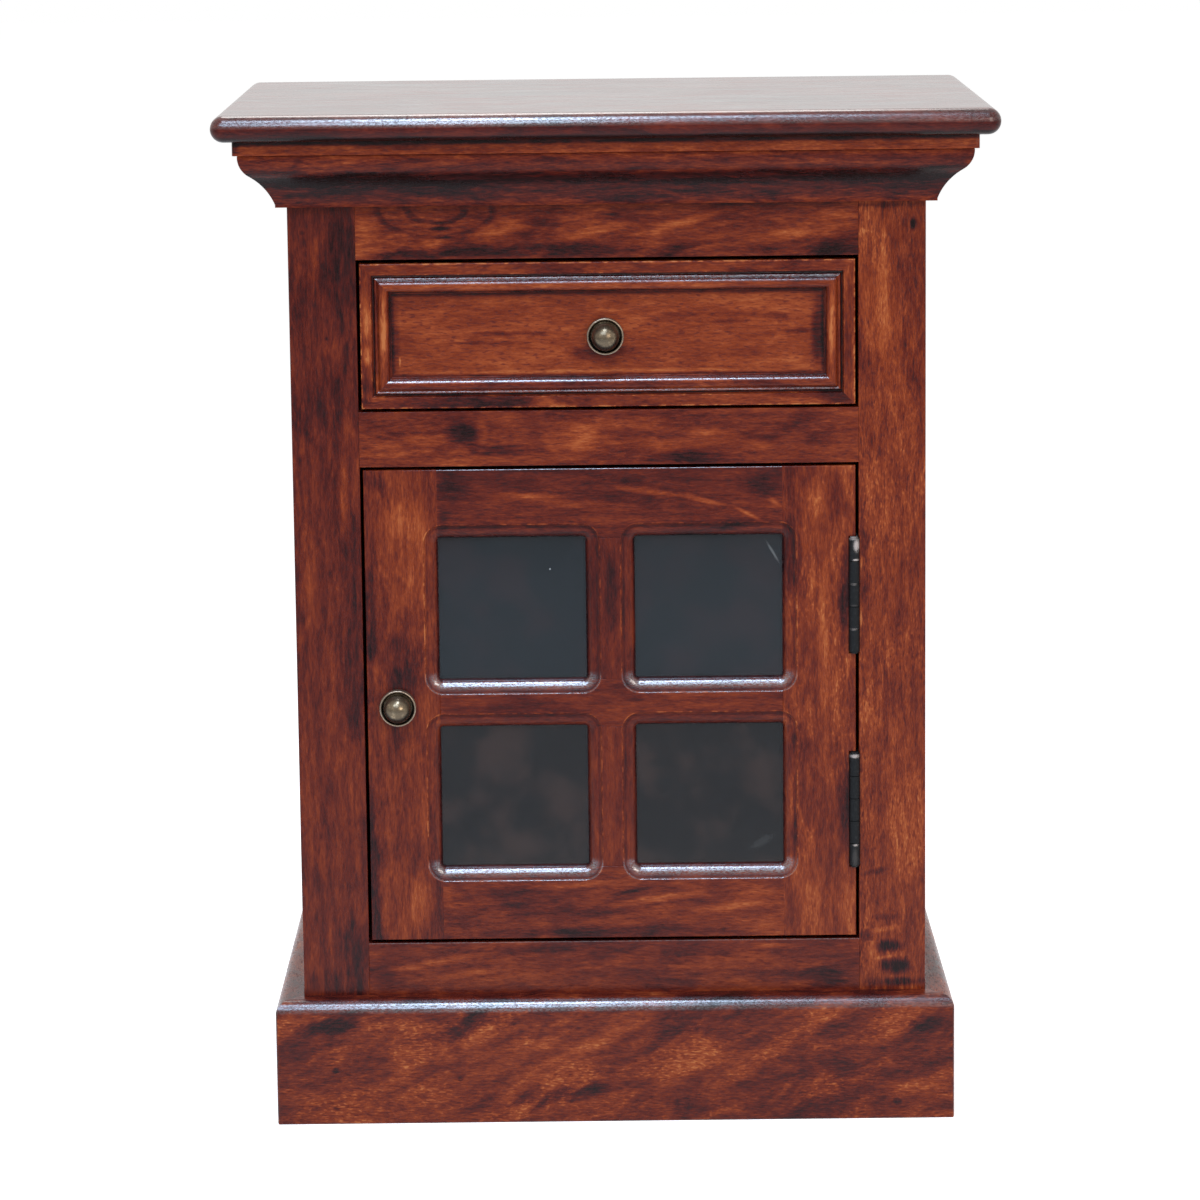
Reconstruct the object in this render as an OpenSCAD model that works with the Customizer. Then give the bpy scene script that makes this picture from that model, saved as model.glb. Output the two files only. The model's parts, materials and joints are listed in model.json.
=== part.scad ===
// Bedside pot cupboard: one drawer over a glazed door, with a moulded cornice and a plinth.
// X runs across the front, Y from the front to the back, and Z up. The origin is on the
// floor, under the middle of the top board. All sizes are in millimetres.

/* [Overall] */
// Width of the top board over its nosing
top_w = 500; // [490:5:520]
// Depth of the top board from the nosing to the back edge
top_d = 350; // [340:5:380]
// Thickness of the top board, which is also the height of its round nosing
top_t = 17; // [16:1:22]
// How far the top board stands out past the body at the front and the sides
top_overhang = 45; // [42:1:48]

/* [Cornice] */
// Thickness of the sub-top, whose square edge shows between the top board and the cornice
sub_top_t = 9; // [7:1:11]
// How far the sub-top stands out from the body
sub_top_reach = 32; // [30:0.5:34]
// How far the ogee moulding stands out from the body at its top
ogee_reach = 29; // [28:0.5:30]
// Radius of the upper, rounded half of the ogee
ogee_round_r = 15.5; // [14:0.5:16]
// Radius of the lower, hollow half of the ogee
ogee_hollow_r = 40; // [38:1:42]
// Height of the plain edge above the ogee
ogee_head_h = 1; // [0.5:0.5:2]
// Height of the plain foot below the ogee
ogee_foot_h = 1.7; // [1:0.1:3]

/* [Face frame] */
// Thickness of the face frame
frame_t = 20; // [18:1:22]
// Width of each upright of the face frame
stile_w = 43.5; // [42:0.5:48]
// Height of the lower edge of the door opening above the floor
sill_z = 118; // [112:1:124]
// Height of the door opening
door_open_h = 316.5; // [312.5:0.5:320]
// Height of the rail between the door and the drawer
middle_rail_h = 36; // [34:1:40]
// Height of the drawer opening
drawer_open_h = 98.5; // [96:0.5:102]
// Height of the top rail, most of which the cornice covers
top_rail_h = 70; // [68:1:78]
// Height of the bottom rail, part of which the plinth covers
bottom_rail_h = 58; // [54:1:64]

/* [Plinth] */
// Height of the plinth boards
plinth_h = 83; // [78:1:88]
// Thickness of the plinth boards
plinth_t = 18; // [16:1:20]
// Radius of their rounded top edge
plinth_round = 9; // [6:1:10]

/* [Carcass] */
// Thickness of the side boards
side_t = 18; // [16:1:20]
// Thickness of the back panel
back_t = 6; // [5:1:8]
// Thickness of the cupboard floor
floor_t = 15; // [12:1:18]
// Thickness of the board between the drawer and the cupboard
divider_t = 12; // [10:1:14]

/* [Door] */
// Gap round the door and at the sides of the drawer
fit_gap = 2; // [1.5:0.5:2.5]
// Width of each door upright
door_stile_w = 47.5; // [45:0.5:50]
// Height of the door's top rail
door_top_rail_h = 45.7; // [42:0.1:48]
// Height of the door's middle rail
door_middle_rail_h = 31.5; // [30:0.5:36]
// Height of the glass that shows in each pane
pane_h = 93.5; // [90:0.5:95]
// Width of the upright glazing bars
muntin_w = 32; // [30:1:34]
// Thickness of the glass
glass_t = 3; // [2:0.5:4]

/* [Drawer] */
// Height of the drawer front
drawer_front_h = 94; // [92:0.5:95]
// Height of the drawer box
drawer_box_h = 90; // [80:1:92]
// Thickness of the drawer's sides and back
drawer_side_t = 12; // [10:1:14]
// Width of the mitred moulding round the drawer front
moulding_w = 20; // [20:1:24]

/* [Hardware] */
// Length of each hinge
hinge_h = 75; // [70:5:80]
// Radius of the hinge barrel
barrel_r = 3.4; // [3.2:0.1:3.6]
// Radius of the ball of each knob
knob_r = 9; // [8.5:0.1:9.4]
// Radius of the round cup behind each knob
rose_r = 12; // [11:0.5:13]

/* [Hidden] */
$fn = 48;

// Finishes
CHESTNUT = [0.42, 0.17, 0.10];
INSIDE = [0.50, 0.31, 0.19];
PLY = [0.66, 0.50, 0.34];
BRASS = [0.45, 0.37, 0.26];
IRON = [0.06, 0.06, 0.065];
STEEL = [0.55, 0.55, 0.53];
GLASS = [0.20, 0.23, 0.24, 0.5];
PLASTIC = [0.20, 0.12, 0.09];

// Body
body_w = top_w - 2 * top_overhang;
body_x = body_w / 2;
front_y = top_overhang - top_d / 2;
back_y = top_d / 2;
frame_y = front_y + frame_t;
open_x = body_x - stile_w;
inside_x = body_x - side_t;
door_open_top = sill_z + door_open_h;
drawer_open_z = door_open_top + middle_rail_h;
top_rail_z = drawer_open_z + drawer_open_h;
body_top = top_rail_z + top_rail_h;
top_z = body_top + sub_top_t;

// Joints in the wood
tenon_l = 25;
tenon_t = 7;
tenon_shoulder = 8;
housing = 6;
rebate = 10;
back_panel_z = 60;
panel_y = back_y - back_t;
rail_back_t = 18;
floor_z = sill_z - floor_t;
divider_z = door_open_top + 3.5;
divider_top = divider_z + divider_t;
top_rail_back_h = 60;
kicker_h = 18;
runner_w = 47;
runner_guide_h = 30;
stop_l = 12;
stop_gap = 0.3;
pin_rows = 6;
pin_r = 0.9;
pin_head_r = 2.2;
pin_head_t = 1;
pin_l = 20;
top_screw_l = 20;
top_screw_x = body_x - 55;
top_screw_y = [frame_y + 20, 20, back_y - 42];

// Ogee outline: the slope where the round half meets the hollow half, and at its foot
ogee_turn = 34;
ogee_end = 70;
ogee_steps = 8;
ogee_z = body_top - ogee_head_h;

// Door
door_x = open_x - fit_gap;
door_z = sill_z + fit_gap;
door_h = door_open_h - 2 * fit_gap;
door_t = frame_t;
door_top = door_z + door_h;
pane_w = door_x - door_stile_w - muntin_w / 2;
pane_x = muntin_w / 2 + pane_w / 2;
upper_pane_z = door_top - door_top_rail_h - pane_h / 2;
middle_rail_top = door_top - door_top_rail_h - pane_h;
middle_rail_z = middle_rail_top - door_middle_rail_h;
lower_pane_z = middle_rail_z - pane_h / 2;
door_bottom_rail_top = middle_rail_z - pane_h;
door_tenon_l = 22;
stub_l = 8;
stub_w = 14;

// Moulded edge round each pane, as distances out from the glass and back from the face
edge_w = 9;
edge_step = 1.2;
edge_lip = 8;
edge_r = edge_lip - edge_step;
pane_corner = 2.5;
glass_rebate = 6;
glass_slack = 0.5;
glazing_w = 7;
glazing_inset = 0.5;
mitre_gap = 0.1;

// Drawer
drawer_x = open_x - fit_gap;
drawer_z = drawer_open_z + fit_gap;
drawer_top = drawer_z + drawer_front_h;
moulding_t = 6;
border_w = 7.5;
groove_w = 1.8;
groove_z = 2.2;
step_z = 3.6;
small_bead_r = 1;
small_bead_z = 3.4;
bead_r = 2.9;
bead_flat = 1.2;
bead_at = 15;
lip_z = 1.2;
drawer_slide = 0.3;
drawer_lap = 7;
drawer_end = panel_y - stop_l - stop_gap;
drawer_box_z = drawer_open_z + drawer_slide;
drawer_box_top = drawer_box_z + drawer_box_h;
drawer_floor_z = drawer_box_z + 9.5;
drawer_floor_t = 5;
groove = 4;

// Knobs
drawer_knob_x = -1.6;
drawer_knob_z = drawer_z + drawer_front_h / 2 - 1.6;
door_knob_x = -(door_x - 20);
door_knob_z = door_z + door_h / 2;
rose_plate_t = 1.4;
rose_rim_r = 0.8;
rose_h = 6;
knob_out = 8;
bolt_r = 2;
bolt_hole_r = 2.2;
bolt_bite = 9;
bolt_head_r = 4.2;
bolt_head_t = 2.6;

// Hinges
hinge_x = open_x - 3;
hinge_y = front_y - 1;
hinge_upper_z = door_z + 227.5;
hinge_lower_z = door_z + 85;
hinge_mid_z = [hinge_lower_z, hinge_upper_z];
leaf_t = 1.4;
leaf_depth = 18;
frame_leaf_x = open_x - 1;
door_leaf_x = door_x - 1.1;
knuckles = 5;
knuckle_gap = 0.3;
barrel_clear = 0.4;
hinge_pin_r = 1.6;
hinge_pin_slack = 0.05;
screw_spread = 26;
pin_button_r = 2.6;
pin_button_t = 0.9;

// Screws
screw_r = 1.5;
screw_head_r = 3.1;
screw_l = 15;
screw_point_l = 3;
screw_point_r = 0.3;
slot_w = 0.8;
slot_depth = 0.7;

// Door catch
catch_x = [-(door_x - 6), -(door_x - 46)];
catch_h = 14;
catch_t = 14;
catch_gap = 1.5;
catch_screw_x = [catch_x[0] + 8, catch_x[1] - 8];
catch_screw_l = 22;
catch_plate_t = 1.2;
catch_plate_h = 9;
catch_plate_z = door_top - 1 - catch_plate_h;
catch_plate_inset = 2;

// A plain block between two opposite corners
module block(low, high) {
    translate(low) cube(high - low);
}

// Keeps its children on the right for side = 1 and mirrors them for side = -1
module on_side(side) {
    if (side < 0) mirror([1, 0, 0]) children();
    else children();
}

// ---- Top board and the mouldings that run round the body ----

module top_board() {
    r = top_t / 2;
    edge_x = top_w / 2 - r;
    edge_y = r - top_d / 2;
    color(CHESTNUT) difference() {
        union() {
            block([-edge_x, edge_y, top_z], [edge_x, back_y, top_z + top_t]);
            translate([-edge_x, edge_y, top_z + r]) rotate([0, 90, 0]) cylinder(r = r, h = 2 * edge_x);
            for (side = [-1, 1]) {
                translate([side * edge_x, back_y, top_z + r]) rotate([90, 0, 0])
                    cylinder(r = r, h = back_y - edge_y);
                translate([side * edge_x, edge_y, top_z + r]) sphere(r = r);
            }
        }
        top_screws();
    }
}

// A board under the top board, which closes the body and shows as a square strip
module sub_top() {
    reach = body_x + sub_top_reach;
    color(CHESTNUT) difference() {
        block([-reach, front_y - sub_top_reach, body_top], [reach, back_y, top_z]);
        top_screws();
    }
}

// Screws driven up through the sub-top into the top board
module top_screws(slot = false) {
    for (side = [-1, 1]) for (y = top_screw_y)
        translate([side * top_screw_x, y, body_top]) wood_screw(top_screw_l, slot);
}

// Runs an outline across the front of the body and mitres both ends.
// The outline's first axis points away from the body and its second axis up.
module front_run(reach) {
    intersection() {
        translate([-body_x - reach, front_y, 0]) rotate([90, 0, 90])
            linear_extrude(body_w + 2 * reach) mirror([1, 0]) children();
        linear_extrude(body_top) polygon([
            [-body_x, front_y], [-body_x - reach, front_y - reach],
            [body_x + reach, front_y - reach], [body_x, front_y]
        ]);
    }
}

// Runs an outline along one side of the body and mitres its front end
module side_run(side, reach) {
    on_side(side) intersection() {
        translate([body_x, back_y, 0]) rotate([90, 0, 0])
            linear_extrude(back_y - front_y + reach) children();
        linear_extrude(body_top) polygon([
            [body_x, front_y], [body_x + reach, front_y - reach],
            [body_x + reach, back_y], [body_x, back_y]
        ]);
    }
}

// Points of the ogee from its top to its foot: a round stretch, then a hollow one
function ogee_points() =
    let (
        round_at = [ogee_reach - ogee_round_r, ogee_z],
        turn = round_at + ogee_round_r * [sin(ogee_turn), -cos(ogee_turn)],
        hollow_at = turn + ogee_hollow_r * [sin(ogee_turn), -cos(ogee_turn)]
    )
    concat(
        [for (i = [0 : ogee_steps]) let (a = (90 - ogee_turn) * i / ogee_steps)
            round_at + ogee_round_r * [cos(a), -sin(a)]],
        [for (i = [1 : ogee_steps]) let (a = ogee_turn + (ogee_end - ogee_turn) * i / ogee_steps)
            hollow_at + ogee_hollow_r * [-sin(a), cos(a)]]
    );

module ogee_outline() {
    curve = ogee_points();
    foot = curve[len(curve) - 1];
    bottom = foot[1] - ogee_foot_h;
    polygon(concat([[0, body_top], [ogee_reach, body_top]], curve, [[foot[0], bottom], [0, bottom]]));
}

module plinth_outline() {
    square([plinth_t, plinth_h - plinth_round]);
    square([plinth_t - plinth_round, plinth_h]);
    translate([plinth_t - plinth_round, plinth_h - plinth_round]) circle(r = plinth_round);
}

module cornice_front() {
    color(CHESTNUT) front_run(ogee_reach) ogee_outline();
}

module cornice(side) {
    color(CHESTNUT) side_run(side, ogee_reach) ogee_outline();
}

module plinth_front() {
    color(CHESTNUT) front_run(plinth_t) plinth_outline();
}

module plinth(side) {
    color(CHESTNUT) side_run(side, plinth_t) plinth_outline();
}

// ---- Face frame ----

// The tenon of a face frame rail, on the right
module frame_tenon(low_z, high_z) {
    mid_y = front_y + frame_t / 2;
    block([open_x, mid_y - tenon_t / 2, low_z + tenon_shoulder],
          [open_x + tenon_l, mid_y + tenon_t / 2, high_z - tenon_shoulder]);
}

module frame_rail(low_z, high_z) {
    color(CHESTNUT) union() {
        block([-open_x, front_y, low_z], [open_x, frame_y, high_z]);
        for (side = [-1, 1]) on_side(side) frame_tenon(low_z, high_z);
    }
}

module frame_stile(side) {
    color(CHESTNUT) difference() {
        on_side(side) difference() {
            block([open_x, front_y, 0], [body_x, frame_y, body_top]);
            frame_tenon(sill_z - bottom_rail_h, sill_z);
            frame_tenon(door_open_top, drawer_open_z);
            frame_tenon(top_rail_z, body_top);
        }
        if (side > 0) {
            hinge_barrel_space();
            leaf_recesses(frame_leaf_x);
            for (z = hinge_mid_z) leaf_screws(frame_leaf_x, z, 1);
        }
    }
}

// ---- Carcass ----

module side_panel(side) {
    color(CHESTNUT) on_side(side) difference() {
        block([inside_x, frame_y, 0], [body_x, back_y, body_top]);
        block([inside_x, panel_y, back_panel_z], [inside_x + rebate, back_y, body_top]);
        block([inside_x, frame_y, floor_z], [inside_x + housing, panel_y, sill_z]);
        block([inside_x, frame_y, divider_z], [inside_x + housing, panel_y, divider_top]);
        panel_pins_right();
    }
}

// A board let into the housings of both sides
module housed_board(low_z, high_z) {
    block([-inside_x - housing, frame_y, low_z], [inside_x + housing, panel_y, high_z]);
}

module cabinet_floor() {
    color(INSIDE) housed_board(floor_z, sill_z);
}

module drawer_divider() {
    color(INSIDE) difference() {
        housed_board(divider_z, divider_top);
        catch_screws();
    }
}

// The nails up the right-hand edge of the back panel, with their heads flush. They miss
// the ends of the cupboard floor and of the board under the drawer.
module panel_pins_right() {
    x = inside_x + rebate / 2;
    span = body_top - sill_z;
    for (i = [0 : pin_rows - 1]) {
        z = sill_z + span * (i + 0.5) / pin_rows;
        translate([x, back_y, z]) rotate([90, 0, 0]) {
            cylinder(r = pin_r, h = pin_l);
            cylinder(r = pin_head_r, h = pin_head_t);
        }
    }
}

module back_panel() {
    color(PLY) difference() {
        block([-inside_x - rebate, panel_y, back_panel_z], [inside_x + rebate, back_y, body_top]);
        for (side = [-1, 1]) on_side(side) panel_pins_right();
    }
}

module back_panel_pins() {
    color(STEEL) for (side = [-1, 1]) on_side(side) panel_pins_right();
}

module base_rail_back() {
    color(INSIDE) block([-inside_x, panel_y - rail_back_t, 0], [inside_x, panel_y, floor_z]);
}

module top_rail_back() {
    color(INSIDE) block([-inside_x, panel_y - rail_back_t, body_top - top_rail_back_h],
                        [inside_x, panel_y, body_top]);
}

// The drawer slides on the low step of each runner and against its upright step
module drawer_runner(side) {
    color(INSIDE) on_side(side) union() {
        block([inside_x - runner_w, frame_y, divider_top], [inside_x, panel_y, drawer_open_z]);
        block([open_x, frame_y, drawer_open_z], [inside_x, panel_y, drawer_open_z + runner_guide_h]);
    }
}

// Strips over the drawer's sides that stop it tipping when it is pulled out
module drawer_kickers() {
    color(INSIDE) for (side = [-1, 1]) on_side(side)
        block([inside_x - runner_w, frame_y, top_rail_z],
              [inside_x, panel_y - rail_back_t, top_rail_z + kicker_h]);
}

module drawer_stops() {
    color(INSIDE) for (side = [-1, 1]) on_side(side)
        block([inside_x - runner_w, panel_y - stop_l, drawer_open_z],
              [open_x, panel_y, drawer_open_z + runner_guide_h]);
}

// ---- Door ----

// The wood that a router takes away beside a pane, as (distance out from the glass,
// distance behind the face): a shallow step, then a quarter round down to the glass
module edge_outline() {
    square([edge_w, edge_step]);
    difference() {
        square([edge_r, edge_lip]);
        translate([edge_r, edge_lip]) circle(r = edge_r);
    }
}

// Stands an outline up in the plane of the door, with its second axis pointing back
module edge_side(length) {
    linear_extrude(length) edge_outline();
}

// Everything cut out of the door for one pane centred on x and z
module pane_cut(x, z) {
    half = [pane_w / 2, pane_h / 2];
    core = half - [pane_corner, pane_corner];
    translate([x, front_y, z]) {
        for (turn = [0 : 3]) {
            run = turn % 2 == 0 ? core : [core[1], core[0]];
            rotate([0, turn * 90, 0]) {
                translate([run[0] + pane_corner, 0, -run[1]]) edge_side(2 * run[1]);
                translate([run[0], 0, run[1]]) rotate([90, 0, 0]) mirror([0, 0, 1])
                    rotate_extrude(angle = 90) translate([pane_corner, 0]) edge_outline();
            }
        }
        block([-half[0], 0, -core[1]], [half[0], door_t, core[1]]);
        block([-core[0], 0, -half[1]], [core[0], door_t, half[1]]);
        for (sx = [-1, 1]) for (sz = [-1, 1])
            translate([sx * core[0], 0, sz * core[1]]) rotate([-90, 0, 0])
                cylinder(r = pane_corner, h = door_t);
        block([-half[0] - glass_rebate, edge_lip, -half[1] - glass_rebate],
              [half[0] + glass_rebate, door_t, half[1] + glass_rebate]);
    }
}

module all_panes_cut() {
    for (side = [-1, 1]) for (z = [lower_pane_z, upper_pane_z]) pane_cut(side * pane_x, z);
}

// The tenon of a door rail, on the right
module door_tenon(low_z, high_z) {
    mid_y = front_y + door_t / 2;
    edge_x = door_x - door_stile_w;
    block([edge_x, mid_y - tenon_t / 2, low_z + tenon_shoulder],
          [edge_x + door_tenon_l, mid_y + tenon_t / 2, high_z - tenon_shoulder]);
}

// The stub tenons at both ends of an upright glazing bar
module muntin_stubs(low_z, high_z) {
    mid_y = front_y + door_t / 2;
    block([-stub_w / 2, mid_y - tenon_t / 2, low_z - stub_l],
          [stub_w / 2, mid_y + tenon_t / 2, low_z]);
    block([-stub_w / 2, mid_y - tenon_t / 2, high_z],
          [stub_w / 2, mid_y + tenon_t / 2, high_z + stub_l]);
}

module door_stile(side) {
    color(CHESTNUT) difference() {
        on_side(side) difference() {
            block([door_x - door_stile_w, front_y, door_z], [door_x, front_y + door_t, door_top]);
            door_tenon(door_z, door_bottom_rail_top);
            door_tenon(middle_rail_z, middle_rail_top);
            door_tenon(door_top - door_top_rail_h, door_top);
        }
        for (z = [lower_pane_z, upper_pane_z]) pane_cut(side * pane_x, z);
        if (side > 0) {
            hinge_barrel_space();
            leaf_recesses(door_leaf_x);
            for (z = hinge_mid_z) leaf_screws(door_leaf_x + leaf_t, z, -1);
        } else {
            bolt_hole(door_knob_x, door_knob_z);
            catch_plate_screws();
        }
    }
}

module door_rail(low_z, high_z) {
    edge_x = door_x - door_stile_w;
    color(CHESTNUT) difference() {
        union() {
            block([-edge_x, front_y, low_z], [edge_x, front_y + door_t, high_z]);
            for (side = [-1, 1]) on_side(side) door_tenon(low_z, high_z);
        }
        all_panes_cut();
        muntin_stubs(middle_rail_top, door_top - door_top_rail_h);
        muntin_stubs(door_bottom_rail_top, middle_rail_z);
    }
}

module door_muntin(low_z, high_z) {
    color(CHESTNUT) difference() {
        union() {
            block([-muntin_w / 2, front_y, low_z], [muntin_w / 2, front_y + door_t, high_z]);
            muntin_stubs(low_z, high_z);
        }
        for (side = [-1, 1]) pane_cut(side * pane_x, (low_z + high_z) / 2);
    }
}

module glass_pane(side, z) {
    spare = glass_rebate - glass_slack;
    color(GLASS) translate([side * pane_x, front_y + edge_lip, z])
        block([-pane_w / 2 - spare, 0, -pane_h / 2 - spare],
              [pane_w / 2 + spare, glass_t, pane_h / 2 + spare]);
}

// One mitred strip that holds the glass on the right of a pane with these half sizes.
// Its outline is a square with the inner back corner taken off.
module glazing_strip(half) {
    depth = door_t - edge_lip - glass_t - glazing_inset;
    slope = depth / 2;
    outer = half + [glass_rebate, glass_rebate];
    inner_x = outer[0] - glazing_w;
    end_z = outer[1] - mitre_gap;
    intersection() {
        translate([0, 0, -outer[1]]) linear_extrude(2 * outer[1]) polygon([
            [inner_x, 0], [outer[0], 0], [outer[0], depth], [inner_x + slope, depth],
            [inner_x, depth - slope]
        ]);
        rotate([-90, 0, 0]) linear_extrude(depth) polygon([
            [outer[0], -end_z], [outer[0], end_z],
            [inner_x, end_z - glazing_w], [inner_x, glazing_w - end_z]
        ]);
    }
}

// Four strips hold each pane in its rebate
module glazing_beads() {
    color(CHESTNUT) for (side = [-1, 1]) for (z = [lower_pane_z, upper_pane_z])
        translate([side * pane_x, front_y + edge_lip + glass_t, z]) for (turn = [0 : 3])
            rotate([0, turn * 90, 0])
                glazing_strip(turn % 2 == 0 ? [pane_w / 2, pane_h / 2] : [pane_h / 2, pane_w / 2]);
}

// ---- Drawer ----

module drawer_front() {
    back = front_y + frame_t;
    color(CHESTNUT) difference() {
        block([-drawer_x, front_y + moulding_t, drawer_z], [drawer_x, back, drawer_top]);
        for (side = [-1, 1]) on_side(side)
            block([drawer_x - drawer_side_t, back - drawer_lap, drawer_z],
                  [drawer_x, back, drawer_box_top]);
        block([-drawer_x + drawer_side_t, back - groove, drawer_floor_z],
              [drawer_x - drawer_side_t, back, drawer_floor_z + drawer_floor_t]);
        bolt_hole(drawer_knob_x, drawer_knob_z);
    }
}

// Section of the moulding, as (distance in from the drawer's edge, height above the board)
module moulding_outline() {
    step_at = border_w + groove_w;
    small_at = step_at + small_bead_r;
    bead_z = moulding_t - bead_r;
    bead_in = bead_at + bead_flat / 2;
    bead_out = bead_at - bead_flat / 2;
    polygon([
        [0, 0], [moulding_w, 0], [moulding_w, lip_z], [bead_in + bead_r, lip_z],
        [bead_in + bead_r, bead_z], [bead_in, bead_z], [bead_in, moulding_t],
        [bead_out, moulding_t], [bead_out, step_z], [small_at, step_z],
        [small_at, small_bead_z], [step_at, small_bead_z], [step_at, groove_z],
        [border_w, groove_z], [border_w, moulding_t], [0, moulding_t]
    ]);
    for (x = [bead_in, bead_out]) translate([x, bead_z]) circle(r = bead_r);
    translate([small_at, small_bead_z]) circle(r = small_bead_r);
}

// One mitred length of the moulding: turn 0 is the right, 1 the bottom, 2 the left, 3 the top
module drawer_moulding(turn) {
    half = turn % 2 == 0 ? [drawer_x, drawer_front_h / 2] : [drawer_front_h / 2, drawer_x];
    color(CHESTNUT) translate([0, front_y + moulding_t, drawer_z + drawer_front_h / 2])
        rotate([0, turn * 90, 0]) intersection() {
            translate([half[0], 0, -half[1]]) linear_extrude(2 * half[1])
                rotate(180) moulding_outline();
            rotate([90, 0, 0]) linear_extrude(moulding_t) polygon([
                [half[0], -half[1]], [half[0], half[1]],
                [half[0] - moulding_w, half[1] - moulding_w],
                [half[0] - moulding_w, moulding_w - half[1]]
            ]);
        }
}

module drawer_side(side) {
    color(INSIDE) on_side(side) difference() {
        block([drawer_x - drawer_side_t, frame_y - drawer_lap, drawer_box_z],
              [drawer_x, drawer_end, drawer_box_top]);
        block([drawer_x - drawer_side_t, frame_y - drawer_lap, drawer_floor_z],
              [drawer_x - drawer_side_t + groove, drawer_end, drawer_floor_z + drawer_floor_t]);
        block([drawer_x - drawer_side_t, frame_y - drawer_lap, drawer_box_z],
              [drawer_x, frame_y, drawer_z]);
    }
}

module drawer_back() {
    inner = drawer_x - drawer_side_t;
    color(INSIDE) block([-inner, drawer_end - drawer_side_t, drawer_floor_z + drawer_floor_t],
                        [inner, drawer_end, drawer_box_top]);
}

module drawer_bottom() {
    reach = drawer_x - drawer_side_t + groove;
    inner = drawer_x - drawer_side_t;
    color(PLY) union() {
        block([-reach, frame_y, drawer_floor_z], [reach, drawer_end, drawer_floor_z + drawer_floor_t]);
        block([-inner, frame_y - groove, drawer_floor_z],
              [inner, frame_y, drawer_floor_z + drawer_floor_t]);
    }
}

// ---- Knobs ----

module bolt_hole(x, z) {
    translate([x, frame_y, z]) rotate([90, 0, 0]) cylinder(r = bolt_hole_r, h = frame_t);
}

// Turns a round piece so that its axis points out of the front at x and z
module on_front(x, z, face) {
    translate([x, front_y + face, z]) rotate([90, 0, 0]) children();
}

// Round cup with a rolled rim and a hole for the bolt
module knob_rose(x, z, face) {
    color(BRASS) on_front(x, z, face) difference() {
        rotate_extrude() {
            square([rose_r - rose_rim_r, rose_plate_t]);
            translate([rose_r - 2 * rose_rim_r, 0]) square([2 * rose_rim_r, rose_h - rose_rim_r]);
            translate([rose_r - rose_rim_r, rose_h - rose_rim_r]) circle(r = rose_rim_r);
        }
        translate([0, 0, -1]) cylinder(r = bolt_hole_r, h = rose_plate_t + 2);
    }
}

// Ball that stands in the cup on its flat back, with a blind hole for the bolt
module knob(x, z, face) {
    color(BRASS) on_front(x, z, face) difference() {
        translate([0, 0, knob_out]) sphere(r = knob_r);
        translate([0, 0, rose_plate_t - 2 * knob_r]) cylinder(r = 2 * knob_r, h = 2 * knob_r);
        translate([0, 0, rose_plate_t - 1]) cylinder(r = bolt_r, h = bolt_bite + 1);
    }
}

// Bolt from behind, with a round slotted head
module knob_bolt(x, z, face) {
    color(STEEL) on_front(x, z, frame_t) difference() {
        union() {
            cylinder(r = bolt_r, h = frame_t - face + rose_plate_t + bolt_bite);
            translate([0, 0, -bolt_head_t]) cylinder(r = bolt_head_r, h = bolt_head_t);
        }
        translate([0, 0, -bolt_head_t]) screw_slot(bolt_head_r);
    }
}

// ---- Screws ----

// The slot across a screw's head, centred on the head's face
module screw_slot(head_r) {
    cube([4 * head_r, slot_w, 2 * slot_depth], center = true);
}

// Countersunk wood screw with its head's face at the origin and its point up
module wood_screw(length, slot = false) {
    sink = screw_head_r - screw_r;
    difference() {
        union() {
            cylinder(r1 = screw_head_r, r2 = screw_r, h = sink);
            cylinder(r = screw_r, h = length - screw_point_l);
            translate([0, 0, length - screw_point_l])
                cylinder(r1 = screw_r, r2 = screw_point_r, h = screw_point_l);
        }
        if (slot) screw_slot(screw_head_r);
    }
}

// ---- Hinges ----

// Room for both barrels in the edges of the door and the frame
module hinge_barrel_space() {
    half = hinge_h / 2 + pin_button_t + barrel_clear;
    for (z = hinge_mid_z) translate([hinge_x, hinge_y, z - half])
        cylinder(r = barrel_r + barrel_clear, h = 2 * half);
}

// One knuckle out of five, counted from the bottom
module knuckle(mid_z, i, bore_r) {
    length = hinge_h / knuckles;
    translate([hinge_x, hinge_y, mid_z - hinge_h / 2 + i * length + knuckle_gap / 2]) difference() {
        cylinder(r = barrel_r, h = length - knuckle_gap);
        translate([0, 0, -1]) cylinder(r = bore_r, h = length + 2);
    }
}

// The flat of a leaf behind the barrel
module leaf_plate(x, mid_z) {
    block([x, hinge_y + barrel_r + barrel_clear, mid_z - hinge_h / 2],
          [x + leaf_t, front_y + leaf_depth, mid_z + hinge_h / 2]);
}

// Room for both leaves on one side of the gap, open at the front for their tongues
module leaf_recesses(x) {
    for (z = hinge_mid_z)
        block([x, hinge_y, z - hinge_h / 2], [x + leaf_t, front_y + leaf_depth, z + hinge_h / 2]);
}

// The tongue that joins knuckle i to its leaf
module knuckle_tongue(x, mid_z, i, from_y) {
    length = hinge_h / knuckles;
    low = mid_z - hinge_h / 2 + i * length + knuckle_gap / 2;
    block([x, from_y, low], [x + leaf_t, hinge_y + barrel_r + barrel_clear, low + length - knuckle_gap]);
}

module hinge_frame_leaves() {
    color(IRON) for (z = hinge_mid_z) difference() {
        union() {
            leaf_plate(frame_leaf_x, z);
            for (i = [0, 2, 4]) {
                knuckle(z, i, hinge_pin_r);
                knuckle_tongue(frame_leaf_x, z, i, hinge_y);
            }
        }
        leaf_screws(frame_leaf_x, z, 1);
    }
}

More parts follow.
